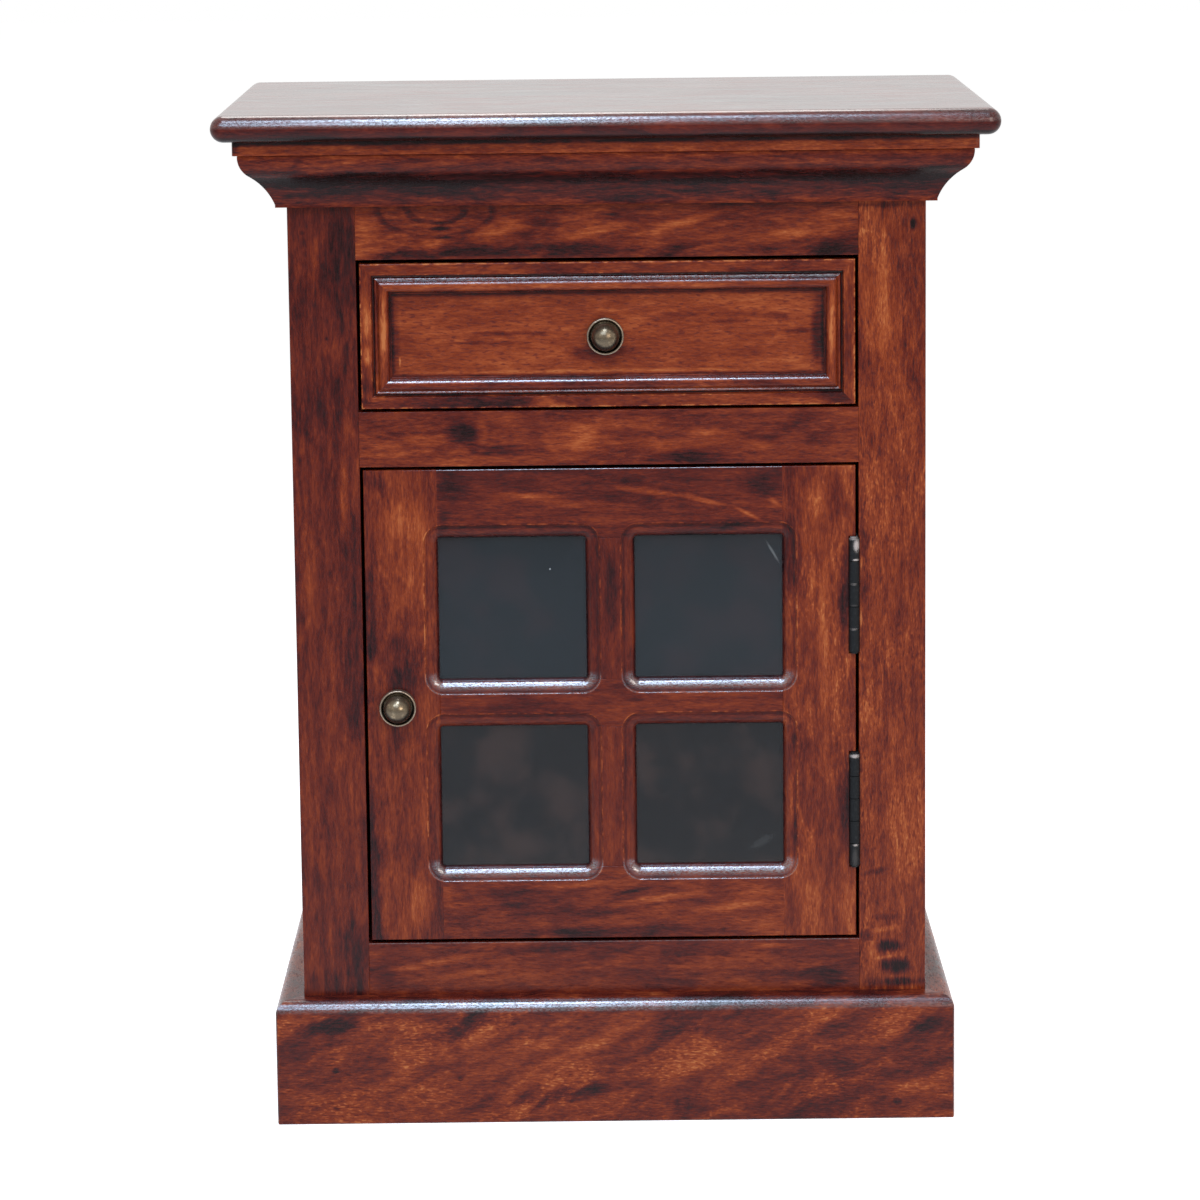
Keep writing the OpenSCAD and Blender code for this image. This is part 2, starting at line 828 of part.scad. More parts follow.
module hinge_door_leaves() {
    color(IRON) for (z = hinge_mid_z) difference() {
        union() {
            leaf_plate(door_leaf_x, z);
            for (i = [1, 3]) {
                knuckle(z, i, hinge_pin_r + hinge_pin_slack);
                knuckle_tongue(door_leaf_x, z, i, hinge_y + hinge_pin_r + 0.6);
            }
        }
        leaf_screws(door_leaf_x + leaf_t, z, -1);
    }
}

// Each pin has a low button head at both ends
module hinge_pins() {
    color(IRON) for (z = hinge_mid_z) translate([hinge_x, hinge_y, z - hinge_h / 2]) {
        cylinder(r = hinge_pin_r, h = hinge_h);
        translate([0, 0, -pin_button_t]) cylinder(r = pin_button_r, h = pin_button_t);
        translate([0, 0, hinge_h]) cylinder(r = pin_button_r, h = pin_button_t);
    }
}

// Three screws in a leaf, with their heads at x and their points the way given
module leaf_screws(x, mid_z, way, slot = false) {
    y = (hinge_y + barrel_r + front_y + leaf_depth) / 2;
    for (i = [-1 : 1]) translate([x, y, mid_z + i * screw_spread]) rotate([0, way * 90, 0])
        wood_screw(screw_l, slot);
}

module hinge_frame_screws() {
    color(IRON) for (z = hinge_mid_z) leaf_screws(frame_leaf_x, z, 1, slot = true);
}

// ---- Door catch ----

// Screws up through the catch into the board above it
module catch_screws(slot = false) {
    for (x = catch_screw_x) translate([x, frame_y + catch_gap + catch_t * 0.6, divider_z - catch_h])
        wood_screw(catch_screw_l, slot);
}

// Screws through the catch plate into the door
module catch_plate_screws(slot = false) {
    for (x = catch_screw_x) translate([x, frame_y + catch_plate_t, catch_plate_z + catch_plate_h / 2])
        rotate([90, 0, 0]) wood_screw(screw_l, slot);
}

// Magnetic catch that hangs under the drawer board, behind the free corner of the door
module door_catch() {
    low = [catch_x[0], frame_y + catch_gap, divider_z - catch_h];
    high = [catch_x[1], frame_y + catch_gap + catch_t, divider_z];
    color(PLASTIC) difference() {
        block(low, high);
        catch_screws();
    }
}

// Steel plate on the back of the door, which the magnet holds
module door_catch_plate() {
    color(STEEL) difference() {
        block([catch_x[0] + catch_plate_inset, frame_y, catch_plate_z],
              [catch_x[1] - catch_plate_inset, frame_y + catch_plate_t, catch_plate_z + catch_plate_h]);
        catch_plate_screws();
    }
}

module carcass_screws() {
    color(STEEL) {
        top_screws(slot = true);
        catch_screws(slot = true);
    }
}

module door_screws() {
    color(IRON) {
        for (z = hinge_mid_z) leaf_screws(door_leaf_x + leaf_t, z, -1, slot = true);
        catch_plate_screws(slot = true);
    }
}

top_board();
sub_top();
carcass_screws();
cornice_front();
cornice(-1);  // cornice_left
cornice(1);  // cornice_right
frame_stile(-1);  // frame_stile_left
frame_stile(1);  // frame_stile_right
frame_rail(top_rail_z, body_top);  // frame_rail_top
frame_rail(door_open_top, drawer_open_z);  // frame_rail_middle
frame_rail(sill_z - bottom_rail_h, sill_z);  // frame_rail_bottom
plinth_front();
plinth(-1);  // plinth_left
plinth(1);  // plinth_right
side_panel(-1);  // side_panel_left
side_panel(1);  // side_panel_right
back_panel();
back_panel_pins();
cabinet_floor();
drawer_divider();
base_rail_back();
top_rail_back();
drawer_runner(-1);  // drawer_runner_left
drawer_runner(1);  // drawer_runner_right
drawer_kickers();
drawer_stops();
hinge_frame_leaves();
hinge_pins();
hinge_frame_screws();
door_catch();
drawer_front();
drawer_moulding(3);  // drawer_moulding_top
drawer_moulding(1);  // drawer_moulding_bottom
drawer_moulding(2);  // drawer_moulding_left
drawer_moulding(0);  // drawer_moulding_right
drawer_side(-1);  // drawer_side_left
drawer_side(1);  // drawer_side_right
drawer_back();
drawer_bottom();
knob(drawer_knob_x, drawer_knob_z, moulding_t);  // drawer_knob
knob_rose(drawer_knob_x, drawer_knob_z, moulding_t);  // drawer_knob_rose
knob_bolt(drawer_knob_x, drawer_knob_z, moulding_t);  // drawer_knob_bolt
door_stile(-1);  // door_stile_left
door_stile(1);  // door_stile_right
door_rail(door_top - door_top_rail_h, door_top);  // door_rail_top
door_rail(middle_rail_z, middle_rail_top);  // door_rail_middle
door_rail(door_z, door_bottom_rail_top);  // door_rail_bottom
door_muntin(middle_rail_top, door_top - door_top_rail_h);  // door_muntin_upper
door_muntin(door_bottom_rail_top, middle_rail_z);  // door_muntin_lower
glass_pane(-1, upper_pane_z);  // glass_upper_left
glass_pane(1, upper_pane_z);  // glass_upper_right
glass_pane(-1, lower_pane_z);  // glass_lower_left
glass_pane(1, lower_pane_z);  // glass_lower_right
glazing_beads();
knob(door_knob_x, door_knob_z, 0);  // door_knob
knob_rose(door_knob_x, door_knob_z, 0);  // door_knob_rose
knob_bolt(door_knob_x, door_knob_z, 0);  // door_knob_bolt
hinge_door_leaves();
door_screws();
door_catch_plate();
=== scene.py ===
"""Looks of a bedside pot cupboard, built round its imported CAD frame.

X runs across the front, Y from the front to the back and Z up. Sizes are in metres, and the
origin is on the floor under the middle of the top board. Patterns in the wood are worked out
in millimetres, as a maker would measure them.
"""

from __future__ import annotations

import json
import logging
import math
from collections.abc import Callable, Iterator, Sequence
from contextlib import contextmanager
from dataclasses import dataclass, replace
from enum import Enum

import bmesh
import bpy
from mathutils import Matrix, Vector

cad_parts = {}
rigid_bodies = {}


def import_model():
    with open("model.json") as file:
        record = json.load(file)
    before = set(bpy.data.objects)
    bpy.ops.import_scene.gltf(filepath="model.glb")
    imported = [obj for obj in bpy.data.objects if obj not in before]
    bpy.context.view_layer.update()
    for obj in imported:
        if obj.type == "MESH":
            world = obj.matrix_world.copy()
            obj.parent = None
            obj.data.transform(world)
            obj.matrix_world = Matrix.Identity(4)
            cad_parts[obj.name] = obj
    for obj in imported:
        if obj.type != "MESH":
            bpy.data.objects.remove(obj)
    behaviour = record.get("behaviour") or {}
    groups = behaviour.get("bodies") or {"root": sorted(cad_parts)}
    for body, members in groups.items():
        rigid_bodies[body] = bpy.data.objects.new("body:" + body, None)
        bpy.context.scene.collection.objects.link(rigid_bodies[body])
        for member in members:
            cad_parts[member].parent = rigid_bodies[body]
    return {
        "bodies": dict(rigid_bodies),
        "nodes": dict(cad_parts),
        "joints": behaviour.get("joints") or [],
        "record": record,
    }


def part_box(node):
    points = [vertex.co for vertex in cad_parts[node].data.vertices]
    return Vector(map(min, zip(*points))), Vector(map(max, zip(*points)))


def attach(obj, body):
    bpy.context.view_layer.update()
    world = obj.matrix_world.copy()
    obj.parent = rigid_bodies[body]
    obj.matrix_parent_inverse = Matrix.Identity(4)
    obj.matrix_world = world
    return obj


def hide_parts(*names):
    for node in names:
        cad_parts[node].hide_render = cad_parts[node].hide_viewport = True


LOG = logging.getLogger("pot_cupboard")
MM = 0.001
PER_METRE = 1000.0
THROUGH = PER_METRE * PER_METRE
HAIR = 0.00002

Colour = tuple[float, float, float]
Point = tuple[float, float, float]
Flat = tuple[float, float]
EdgeTest = Callable[[Vector, Vector], bool]


def mm(*sizes: float) -> tuple[float, ...]:
    """Gives sizes in metres for sizes in millimetres."""
    return tuple(size * MM for size in sizes)


def rgba(colour: Colour) -> tuple[float, float, float, float]:
    """Adds full cover to a colour."""
    return (*colour, 1.0)


# ---- Shader maths ----


@dataclass(frozen=True)
class Pattern:
    """How a noise pattern looks.

    Attributes:
        stretch: Turns of the pattern for each millimetre along each axis.
        detail: How many finer layers it has.
        rough: How strong the finer layers are.
        warp: How much it is bent.
    """

    stretch: Point
    detail: float = 2.0
    rough: float = 0.5
    warp: float = 0.0


class Signal:
    """A shader socket that takes part in Python sums."""

    def __init__(self, shader: Shader, socket: bpy.types.NodeSocket) -> None:
        """Wraps a socket of a shader's tree."""
        self.shader = shader
        self.socket = socket

    def _sum(self, operation: str, *terms: Signal | float) -> Signal:
        """Adds one Math node.

        Args:
            operation: The node's operation.
            terms: Its inputs in order.

        Returns:
            The node's result.
        """
        return self.shader.signal("ShaderNodeMath", {"operation": operation}, dict(enumerate(terms)))

    def __add__(self, other: Signal | float) -> Signal:
        """Adds."""
        return self._sum("ADD", self, other)

    __radd__ = __add__

    def __sub__(self, other: Signal | float) -> Signal:
        """Takes away."""
        return self._sum("SUBTRACT", self, other)

    def __rsub__(self, other: Signal | float) -> Signal:
        """Takes this from a number."""
        return self._sum("SUBTRACT", other, self)

    def __mul__(self, other: Signal | float) -> Signal:
        """Multiplies."""
        return self._sum("MULTIPLY", self, other)

    __rmul__ = __mul__

    def __abs__(self) -> Signal:
        """Drops the sign."""
        return self._sum("ABSOLUTE", self)

    def least(self, other: Signal | float) -> Signal:
        """Gives the smaller of the two."""
        return self._sum("MINIMUM", self, other)

    def most(self, other: Signal | float) -> Signal:
        """Gives the larger of the two."""
        return self._sum("MAXIMUM", self, other)

    def sine(self) -> Signal:
        """Gives the sine, in radians."""
        return self._sum("SINE", self)

    def root(self) -> Signal:
        """Gives the square root."""
        return self._sum("SQRT", self)

    def rise(self, low: float, high: float) -> Signal:
        """Climbs smoothly from 0 at low to 1 at high. With low above high it falls.

        Args:
            low: Where it begins.
            high: Where it ends.

        Returns:
            The climb.
        """
        span = {1: low, 2: high, 3: 0.0, 4: 1.0}
        if low > high:
            span = {1: high, 2: low, 3: 1.0, 4: 0.0}
        return self.shader.signal(
            "ShaderNodeMapRange", {"interpolation_type": "SMOOTHSTEP"}, {0: self, **span}
        )

    def near(self, place: float, reach: float) -> Signal:
        """Gives 1 at a place and fades to 0 at that reach on both sides of it."""
        return abs(self - place).rise(reach, 0.0)


class Shader:
    """A material and its node tree, with one method that adds any node."""

    def __init__(self, name: str, tree_of: bpy.types.ID | None = None) -> None:
        """Starts an empty tree.

        Args:
            name: The material's name.
            tree_of: A world to work on in place of a new material.
        """
        self.owner = tree_of or bpy.data.materials.new(name)
        self.owner.use_nodes = True
        self.tree = self.owner.node_tree
        self.tree.nodes.clear()

    def node(
        self, kind: str, settings: dict | None = None, values: dict | None = None
    ) -> bpy.types.Node:
        """Adds a node.

        Args:
            kind: The node's type.
            settings: Its options, which are set first. "stops" holds a ramp's colours.
            values: A number, colour or Signal for each socket, by name or by number.

        Returns:
            The new node.
        """
        made = self.tree.nodes.new(kind)
        for key, value in (settings or {}).items():
            if key == "stops":
                self._set_stops(made.color_ramp, value)
            else:
                setattr(made, key, value)
        for key, value in (values or {}).items():
            if isinstance(value, Signal):
                self.tree.links.new(value.socket, made.inputs[key])
            else:
                made.inputs[key].default_value = value
        return made

    @staticmethod
    def _set_stops(ramp: bpy.types.ColorRamp, colours: Sequence[Colour]) -> None:
        """Spaces colours evenly along a ramp.

        Args:
            ramp: The ramp.
            colours: The colours in order.
        """
        last = len(colours) - 1
        ramp.elements[1].position = 1.0
        for step in range(1, last):
            ramp.elements.new(step / last)
        for element, colour in zip(ramp.elements, colours, strict=True):
            element.color = rgba(colour)

    def signal(
        self, kind: str, settings: dict | None = None, values: dict | None = None, out: int = 0
    ) -> Signal:
        """Adds a node and gives one of its outputs.

        Args:
            kind: The node's type.
            settings: Its options.
            values: A number, colour or Signal for each socket.
            out: The number of the output.

        Returns:
            That output.
        """
        return Signal(self, self.node(kind, settings, values).outputs[out])

    def place(self) -> Signal:
        """Gives the place on the object in millimetres."""
        spot = self.signal("ShaderNodeTexCoord", out=3)
        return self.vector("SCALE", spot, scale=PER_METRE)

    def vector(
        self, operation: str, first: Signal, second: Signal | Point | None = None, scale: float | None = None
    ) -> Signal:
        """Adds one Vector Math node.

        Args:
            operation: The node's operation.
            first: A vector.
            second: A second vector, where the operation has one.
            scale: A factor, where the operation has one.

        Returns:
            The node's vector, or its number for a length.
        """
        values: dict = {0: first}
        if second is not None:
            values[1] = second
        if scale is not None:
            values["Scale"] = scale
        out = 1 if operation == "LENGTH" else 0
        return self.signal("ShaderNodeVectorMath", {"operation": operation}, values, out)

    def split(self, vector: Signal) -> tuple[Signal, Signal, Signal]:
        """Gives a vector's three parts."""
        parts = self.node("ShaderNodeSeparateXYZ", values={0: vector})
        return tuple(Signal(self, part) for part in parts.outputs)

    def join(self, first: Signal | float, second: Signal | float, third: Signal | float) -> Signal:
        """Makes a vector of three parts."""
        return self.signal("ShaderNodeCombineXYZ", values={0: first, 1: second, 2: third})

    def noise(self, at: Signal, pattern: Pattern) -> Signal:
        """Adds a noise pattern that runs from 0 to 1 about 0.5.

        Args:
            at: A place in millimetres.
            pattern: How it looks.

        Returns:
            The pattern's value.
        """
        values = {
            "Vector": self.vector("MULTIPLY", at, pattern.stretch),
            "Scale": 1.0,
            "Detail": pattern.detail,
            "Roughness": pattern.rough,
            "Distortion": pattern.warp,
        }
        return self.signal("ShaderNodeTexNoise", values=values)

    def from_spot(self, place: Signal, spot: Spot) -> Signal:
        """Measures how far a place lies from a spot's middle, where its outline is 1 away.

        Args:
            place: The place in millimetres.
            spot: The spot, which runs right through the board.

        Returns:
            The distance.
        """
        values = {
            "Vector": place,
            "Location": (spot.x, 0.0, spot.z),
            "Rotation": (0.0, -math.radians(spot.lean), 0.0),
            "Scale": (spot.wide, THROUGH, spot.high),
        }
        local = self.signal("ShaderNodeMapping", {"vector_type": "TEXTURE"}, values)
        return self.vector("LENGTH", local)

    def blend(self, share: Signal | float, first: Signal | Colour, second: Signal | Colour) -> Signal:
        """Mixes two colours.

        Args:
            share: How much of the second shows, from 0 to 1.
            first: A colour.
            second: Another colour.

        Returns:
            The mixed colour.
        """
        ends = {
            key: value if isinstance(value, Signal) else rgba(value)
            for key, value in ((6, first), (7, second))
        }
        return self.signal("ShaderNodeMix", {"data_type": "RGBA"}, {0: share, **ends}, out=2)

    def ramp(self, at: Signal, colours: Sequence[Colour]) -> Signal:
        """Runs through evenly spaced colours as the value goes from 0 to 1."""
        return self.signal("ShaderNodeValToRGB", {"stops": colours}, {0: at})

    def bump(self, height: Signal, strength: float = 1.0) -> Signal:
        """Turns a height in millimetres into a bumped normal."""
        values = {"Strength": strength, "Distance": MM, "Height": height}
        return self.signal("ShaderNodeBump", values=values)

    def surface(self, **values: Signal | float | tuple) -> bpy.types.Material:
        """Ends the material with one Principled shader.

        Args:
            values: Its sockets, with an underscore for each space in a name.

        Returns:
            The material.
        """
        named = {key.replace("_", " "): value for key, value in values.items()}
        shader = self.signal("ShaderNodeBsdfPrincipled", values=named)
        self.node("ShaderNodeOutputMaterial", values={"Surface": shader})
        return self.owner


# ---- Finishes ----


class Grain(Enum):
    """How a board lies: the axes along its fibres, across its face and through it."""

    RAIL = ("X", "Z", "Y")
    UPRIGHT = ("Z", "X", "Y")
    SIDE_RAIL = ("Y", "Z", "X")
    SIDE_UPRIGHT = ("Z", "Y", "X")
    FLAT = ("X", "Y", "Z")
    FLAT_BACK = ("Y", "X", "Z")


@dataclass(frozen=True)
class Stain:
    """The colours of a wood finish, from its darkest pores to bare wood, in even steps.

    Attributes:
        pitch: Pores, knots and gaps.
        shadow: Glaze that has gathered.
        dark: Dark figure.
        ruddy: Red figure.
        body: The middle of the board.
        warm: Light figure.
        orange: The lightest figure.
        tan: Where the colour has thinned.
        rough: The roughness of the surface.
        shine: The strength of its reflection.
    """

    pitch: Colour
    shadow: Colour
    dark: Colour
    ruddy: Colour
    body: Colour
    warm: Colour
    orange: Colour
    tan: Colour
    rough: float = 0.3
    shine: float = 0.2

    def steps(self) -> tuple[Colour, ...]:
        """Gives the colours from dark to light.

        Returns:
            The stops of its colour ramp, from dark to light.
        """
        return (
            self.pitch, self.shadow, self.dark, self.ruddy,
            self.body, self.warm, self.orange, self.tan,
        )


LACQUERED = Stain(
    pitch=(0.0075, 0.0012, 0.0012),
    shadow=(0.028, 0.0041, 0.0041),
    dark=(0.0620, 0.0063, 0.0042),
    ruddy=(0.107, 0.0124, 0.0054),
    body=(0.164, 0.0228, 0.0064),
    warm=(0.237, 0.0392, 0.0096),
    orange=(0.326, 0.0690, 0.0175),
    tan=(0.425, 0.1220, 0.0350),
    rough=0.27,
    shine=0.19,
)
UNSTAINED = Stain(
    pitch=(0.080, 0.030, 0.013),
    shadow=(0.135, 0.055, 0.025),
    dark=(0.195, 0.082, 0.037),
    ruddy=(0.250, 0.108, 0.050),
    body=(0.310, 0.138, 0.065),
    warm=(0.370, 0.172, 0.083),
    orange=(0.430, 0.211, 0.106),
    tan=(0.485, 0.250, 0.130),
    rough=0.62,
    shine=0.3,
)
WASHED = Stain(
    pitch=(0.012, 0.005, 0.003),
    shadow=(0.022, 0.008, 0.005),
    dark=(0.036, 0.013, 0.007),
    ruddy=(0.052, 0.019, 0.010),
    body=(0.070, 0.026, 0.013),
    warm=(0.090, 0.035, 0.017),
    orange=(0.115, 0.047, 0.023),
    tan=(0.150, 0.066, 0.033),
    rough=0.55,
    shine=0.25,
)
PLY_FACE = Stain(
    pitch=(0.165, 0.074, 0.034),
    shadow=(0.245, 0.121, 0.058),
    dark=(0.320, 0.166, 0.083),
    ruddy=(0.385, 0.207, 0.108),
    body=(0.445, 0.245, 0.131),
    warm=(0.500, 0.286, 0.158),
    orange=(0.550, 0.325, 0.185),
    tan=(0.600, 0.366, 0.216),
    rough=0.66,
    shine=0.3,
)


@dataclass(frozen=True)
class Spot:
    """A soft patch on the front that is lighter or darker than the board round it.

    Attributes:
        x: Its middle across the front, in millimetres.
        z: Its height above the floor, in millimetres.
        wide: Half its width, in millimetres.
        high: Half its height, in millimetres.
        lift: How much lighter it is. A dark patch has a negative lift.
        lean: How far it is turned, in degrees, with its right end up.
        ragged: How uneven its outline is.
        arches: How many thin rings it shows in place of one patch.
    """

    x: float
    z: float
    wide: float
    high: float
    lift: float
    lean: float = 0.0
    ragged: float = 2.4
    arches: float = 0.0


@dataclass(frozen=True)
class Contour:
    """A line or band that follows a rectangle with rounded corners, in millimetres.

    Attributes:
        at: How far outside the rectangle it runs. Inside is negative.
        reach: Half its width.
        lift: How much lighter it is.
        broken: How much of it is rubbed away, from 0 to 1.
        gloss: How much polish lies on its lower side, from 0 to 1.
    """

    at: float
    reach: float
    lift: float
    broken: float = 0.5
    gloss: float = 0.0


@dataclass(frozen=True)
class Frame:
    """A rectangle on the front that contours follow, in millimetres.

    Attributes:
        middle: Its centre as (x, z).
        half: Half its width and height.
        corner: The radius of its corners.
        fold: Where above zero, the rectangle is one of four, this far out from the middle.
        contours: The lines that follow it.
    """

    middle: Flat
    half: Flat
    corner: float
    fold: Flat = (0.0, 0.0)
    contours: tuple[Contour, ...] = ()


# The wood's patterns, along the fibres in their third part
BROAD = Pattern((0.016, 0.016, 0.0065), rough=0.55)
CLOUD = Pattern((0.052, 0.052, 0.019), detail=5.0, rough=0.60, warp=0.7)
STREAK = Pattern((0.30, 0.30, 0.05), detail=3.0, rough=0.62, warp=0.5)
FIBRE = Pattern((1.0, 1.0, 0.19), rough=0.7)
PORE = Pattern((0.85, 0.85, 0.19), detail=1.0, rough=0.4)
FLECK = Pattern((0.75, 0.75, 0.30), detail=1.0, rough=0.4)
FRAY = Pattern((0.17, 0.17, 0.17), detail=3.0, rough=0.6)
SPARKLE = Pattern((0.5, 1.6, 1.6), rough=0.7)
PEEL = Pattern((0.55, 0.55, 0.55), detail=1.0)

# How much each pattern lifts the tone
CLOUD_LIFT = 8.0
BROAD_LIFT = 4.0
STREAK_LIFT = 6.0
RING_LIFT = 0.9
FIBRE_LIFT = 4.2
FLECK_LIFT = 0.2

# Pores and flecks: where they begin, how strong pores are in light wood and anywhere, and how deep
PORE_EDGE = (0.57, 0.65)
PORE_IN_LIGHT = 1.5
PORE_EVEN = 0.7
PORE_DEPTH = 0.24
PORE_SINK = 1.6
PORE_LIMIT = 0.6
FLECK_EDGE = (0.55, 0.63)
FLECK_IN_LIGHT = (0.45, 0.6)

# The log: the strides between two seeds, and how its rings sway, dip and drift
LOG_STRIDE = (97.0, 41.0, 613.0)
RING_SWAY = 34.0
RING_DIP = 12.0
RING_DRIFT = 5.0

# Spots: the size in millimetres below which a finer pattern frays them, and how their outlines fade
SMALL_SPOT = 7.0
SPOT_FADE = (1.25, 0.25)
ARCH_FADE = (1.1, 0.8)
ARCH_LINE = (0.35, 1.0)
ARCH_WAVER = 4.0

# Contours: how much of a light line is rubbed away, and where the lower sides begin
RUBBED_EDGE = (0.62, 0.42)
RUBBED_MORE = 0.2
EDGE_FADE = 6.0
ROW_FADE = 2.0

# Thick polish
POLISH = 1.4
POLISH_BAND = 1.15
POLISH_FADE = 2.0
POLISH_PEAK = 0.62
POLISH_ELSEWHERE = 0.45
EVEN_POLISH = 0.43
SPARKLE_EDGE = (0.36, 0.62)
SPARKLE_PART = 0.8
POLISH_ROUGH = 0.23
POLISH_INDEX = 1.9

# The surface: heights in millimetres, and how much rougher pores and clouds are
FIBRE_HEIGHT = 0.10
PORE_HEIGHT = 0.04
PEEL_HEIGHT = 0.04
PORE_ROUGH = 0.16
CLOUD_ROUGH = 0.25


@dataclass(frozen=True)
class Timber:
    """The wood of one board.

    Attributes:
        name: The material's name.
        grain: How the board lies.
        seed: Which part of the log it was cut from.
        tone: Its middle tone, from 0 for pitch to 1 for tan.
        spread: How far the tones run to both sides.
        clouds: The share of broad mottling.
        streaks: The share of long streaks.
        rings: The share of growth rings.
        dashes: The share of dark pores.
        ring_gap: The distance between rings, in millimetres.
        ring_depth: How far the heart of the log lies behind the face, in millimetres.
        ring_off: How far the heart lies beside the board's middle, in millimetres.
        ring_tilt: How much the rings slope along the board, which makes arches.
        lean: How far the mottling slants from the fibres, in degrees, with its right end up.
        flecks: The share of short light flecks.
        slope: How much lighter the board is a metre further along.
        stain: Its colours.
        spots: Patches on it.
        frame: A rectangle with lines round it.
        polish: Where above zero, the heights between which thick polish sets in, in millimetres.
        polish_end: Where above zero, the height at which it stops.
        polish_at: Where above zero, the place across the front where it is thickest, and its reach.
        highlight_tint: The tint under thick polish, bluish so that the polished bands where highlights fall
            read bluer: a painted highlight colour.
        even_from: Where above zero, the height from which thick polish has no sparkle.
        relief: How deep its texture is.
    """

    name: str
    grain: Grain
    seed: float
    tone: float = 0.5
    spread: float = 0.22
    clouds: float = 0.75
    streaks: float = 0.8
    rings: float = 0.4
    dashes: float = 0.5
    ring_gap: float = 7.0
    ring_depth: float = 26.0
    ring_off: float = 8.0
    ring_tilt: float = 0.07
    lean: float = 0.0
    flecks: float = 0.0
    slope: float = 0.0
    stain: Stain = LACQUERED
    spots: tuple[Spot, ...] = ()
    frame: Frame | None = None
    polish: Flat = (0.0, 0.0)
    polish_end: float = 0.0
    polish_at: Flat = (0.0, 0.0)
    highlight_tint: Colour = (0.66, 0.70, 1.0)
    even_from: float = 0.0
    relief: float = 1.0

    def _along_grain(self, shader: Shader, place: Signal) -> Signal:
        """Turns a place so that the fibres run along its third part.

        Args:
            shader: The material's tree.
            place: The place in millimetres.

        Returns:
            The distance across the face, through the board and along the fibres.
        """
        parts = dict(zip("XYZ", shader.split(place), strict=True))
        along, across, through = (parts[axis] for axis in self.grain.value)
        turned = shader.join(across, through, along)
        start = tuple(self.seed * stride for stride in LOG_STRIDE)
        return shader.vector("ADD", turned, start)

    def _ring_tone(self, shader: Shader, parts: dict[str, Signal], bend: Signal) -> Signal:
        """Cuts the board out of a log with growth rings.

        Args:
            shader: The material's tree.
            parts: The place's parts, by axis.
            bend: A broad pattern that bends the rings.

        Returns:
            Dark to light across each ring, from -1 to 1.
        """
        along, across, through = (parts[axis] for axis in self.grain.value)
        beside = across - self.ring_off + (bend - 0.5) * RING_SWAY
        behind = through + self.ring_depth + along * self.ring_tilt + (bend - 0.5) * RING_DIP
        distance = (beside * beside + behind * behind).root()
        return (distance * (2.0 * math.pi / self.ring_gap) + bend * RING_DRIFT).sine()

    def _spot_tone(self, shader: Shader, place: Signal, ragged: Signal, spot: Spot) -> Signal:
        """Gives what one patch adds to the tone.

        Args:
            shader: The material's tree.
            place: The place in millimetres.
            ragged: A pattern that frays the patch's outline.
            spot: The patch.

        Returns:
            Its lift, faded out at its outline.
        """
        distance = shader.from_spot(place, spot)
        if spot.arches:
            turns = distance * (2.0 * math.pi * spot.arches) + ragged * ARCH_WAVER
            return turns.sine().rise(*ARCH_LINE) * distance.rise(*ARCH_FADE) * spot.lift
        return (distance + (ragged - 0.5) * spot.ragged).rise(*SPOT_FADE) * spot.lift

    def _frame_distance(self, shader: Shader, place: Signal) -> tuple[Signal, Signal]:
        """Measures how far a place lies outside the frame's rectangle.

        Args:
            shader: The material's tree.
            place: The place in millimetres.

        Returns:
            The distance in millimetres, which is negative inside the rectangle, and 1 where the
            place is beside or below the lower part of the rectangle.
        """
        x, _, z = shader.split(place)
        x, z = abs(x - self.frame.middle[0]), z - self.frame.middle[1]
        below = 1.0
        if self.frame.fold[0] > 0.0:
            x = abs(x - self.frame.fold[0])
            lower_row, upper_row = z + self.frame.fold[1], z - self.frame.fold[1]
            low = -self.frame.half[1]
            below = lower_row.rise(low + EDGE_FADE, low)
            below = below + upper_row.rise(low + EDGE_FADE, low) * z.rise(-ROW_FADE, ROW_FADE)
            z = abs(abs(z) - self.frame.fold[1])
        else:
            z = abs(z)
        x = x - (self.frame.half[0] - self.frame.corner)
        z = z - (self.frame.half[1] - self.frame.corner)
        outer = shader.vector("LENGTH", shader.join(x.most(0.0), 0.0, z.most(0.0)))
        return outer + x.most(z).least(0.0) - self.frame.corner, below

    def material(self) -> bpy.types.Material:
        """Builds the wood's material.

        Returns:
            The material.
        """
        shader = Shader(self.name)
        place = shader.place()
        parts = dict(zip("XYZ", shader.split(place), strict=True))
        grain = self._along_grain(shader, place)
        turn = {"Vector": grain, "Rotation": (0.0, -math.radians(self.lean), 0.0)}
        slanted = shader.signal("ShaderNodeMapping", {"vector_type": "POINT"}, turn) if self.lean else grain
        broad = shader.noise(slanted, BROAD)
        cloud = shader.noise(slanted, CLOUD)
        streak = shader.noise(grain, STREAK)
        fibre = shader.noise(grain, FIBRE)
        fray = shader.noise(place, FRAY)
        ring = self._ring_tone(shader, parts, broad)
        pore = shader.noise(grain, PORE).rise(*PORE_EDGE)
        dash = pore * (cloud - 0.5) * PORE_IN_LIGHT + pore * PORE_EVEN

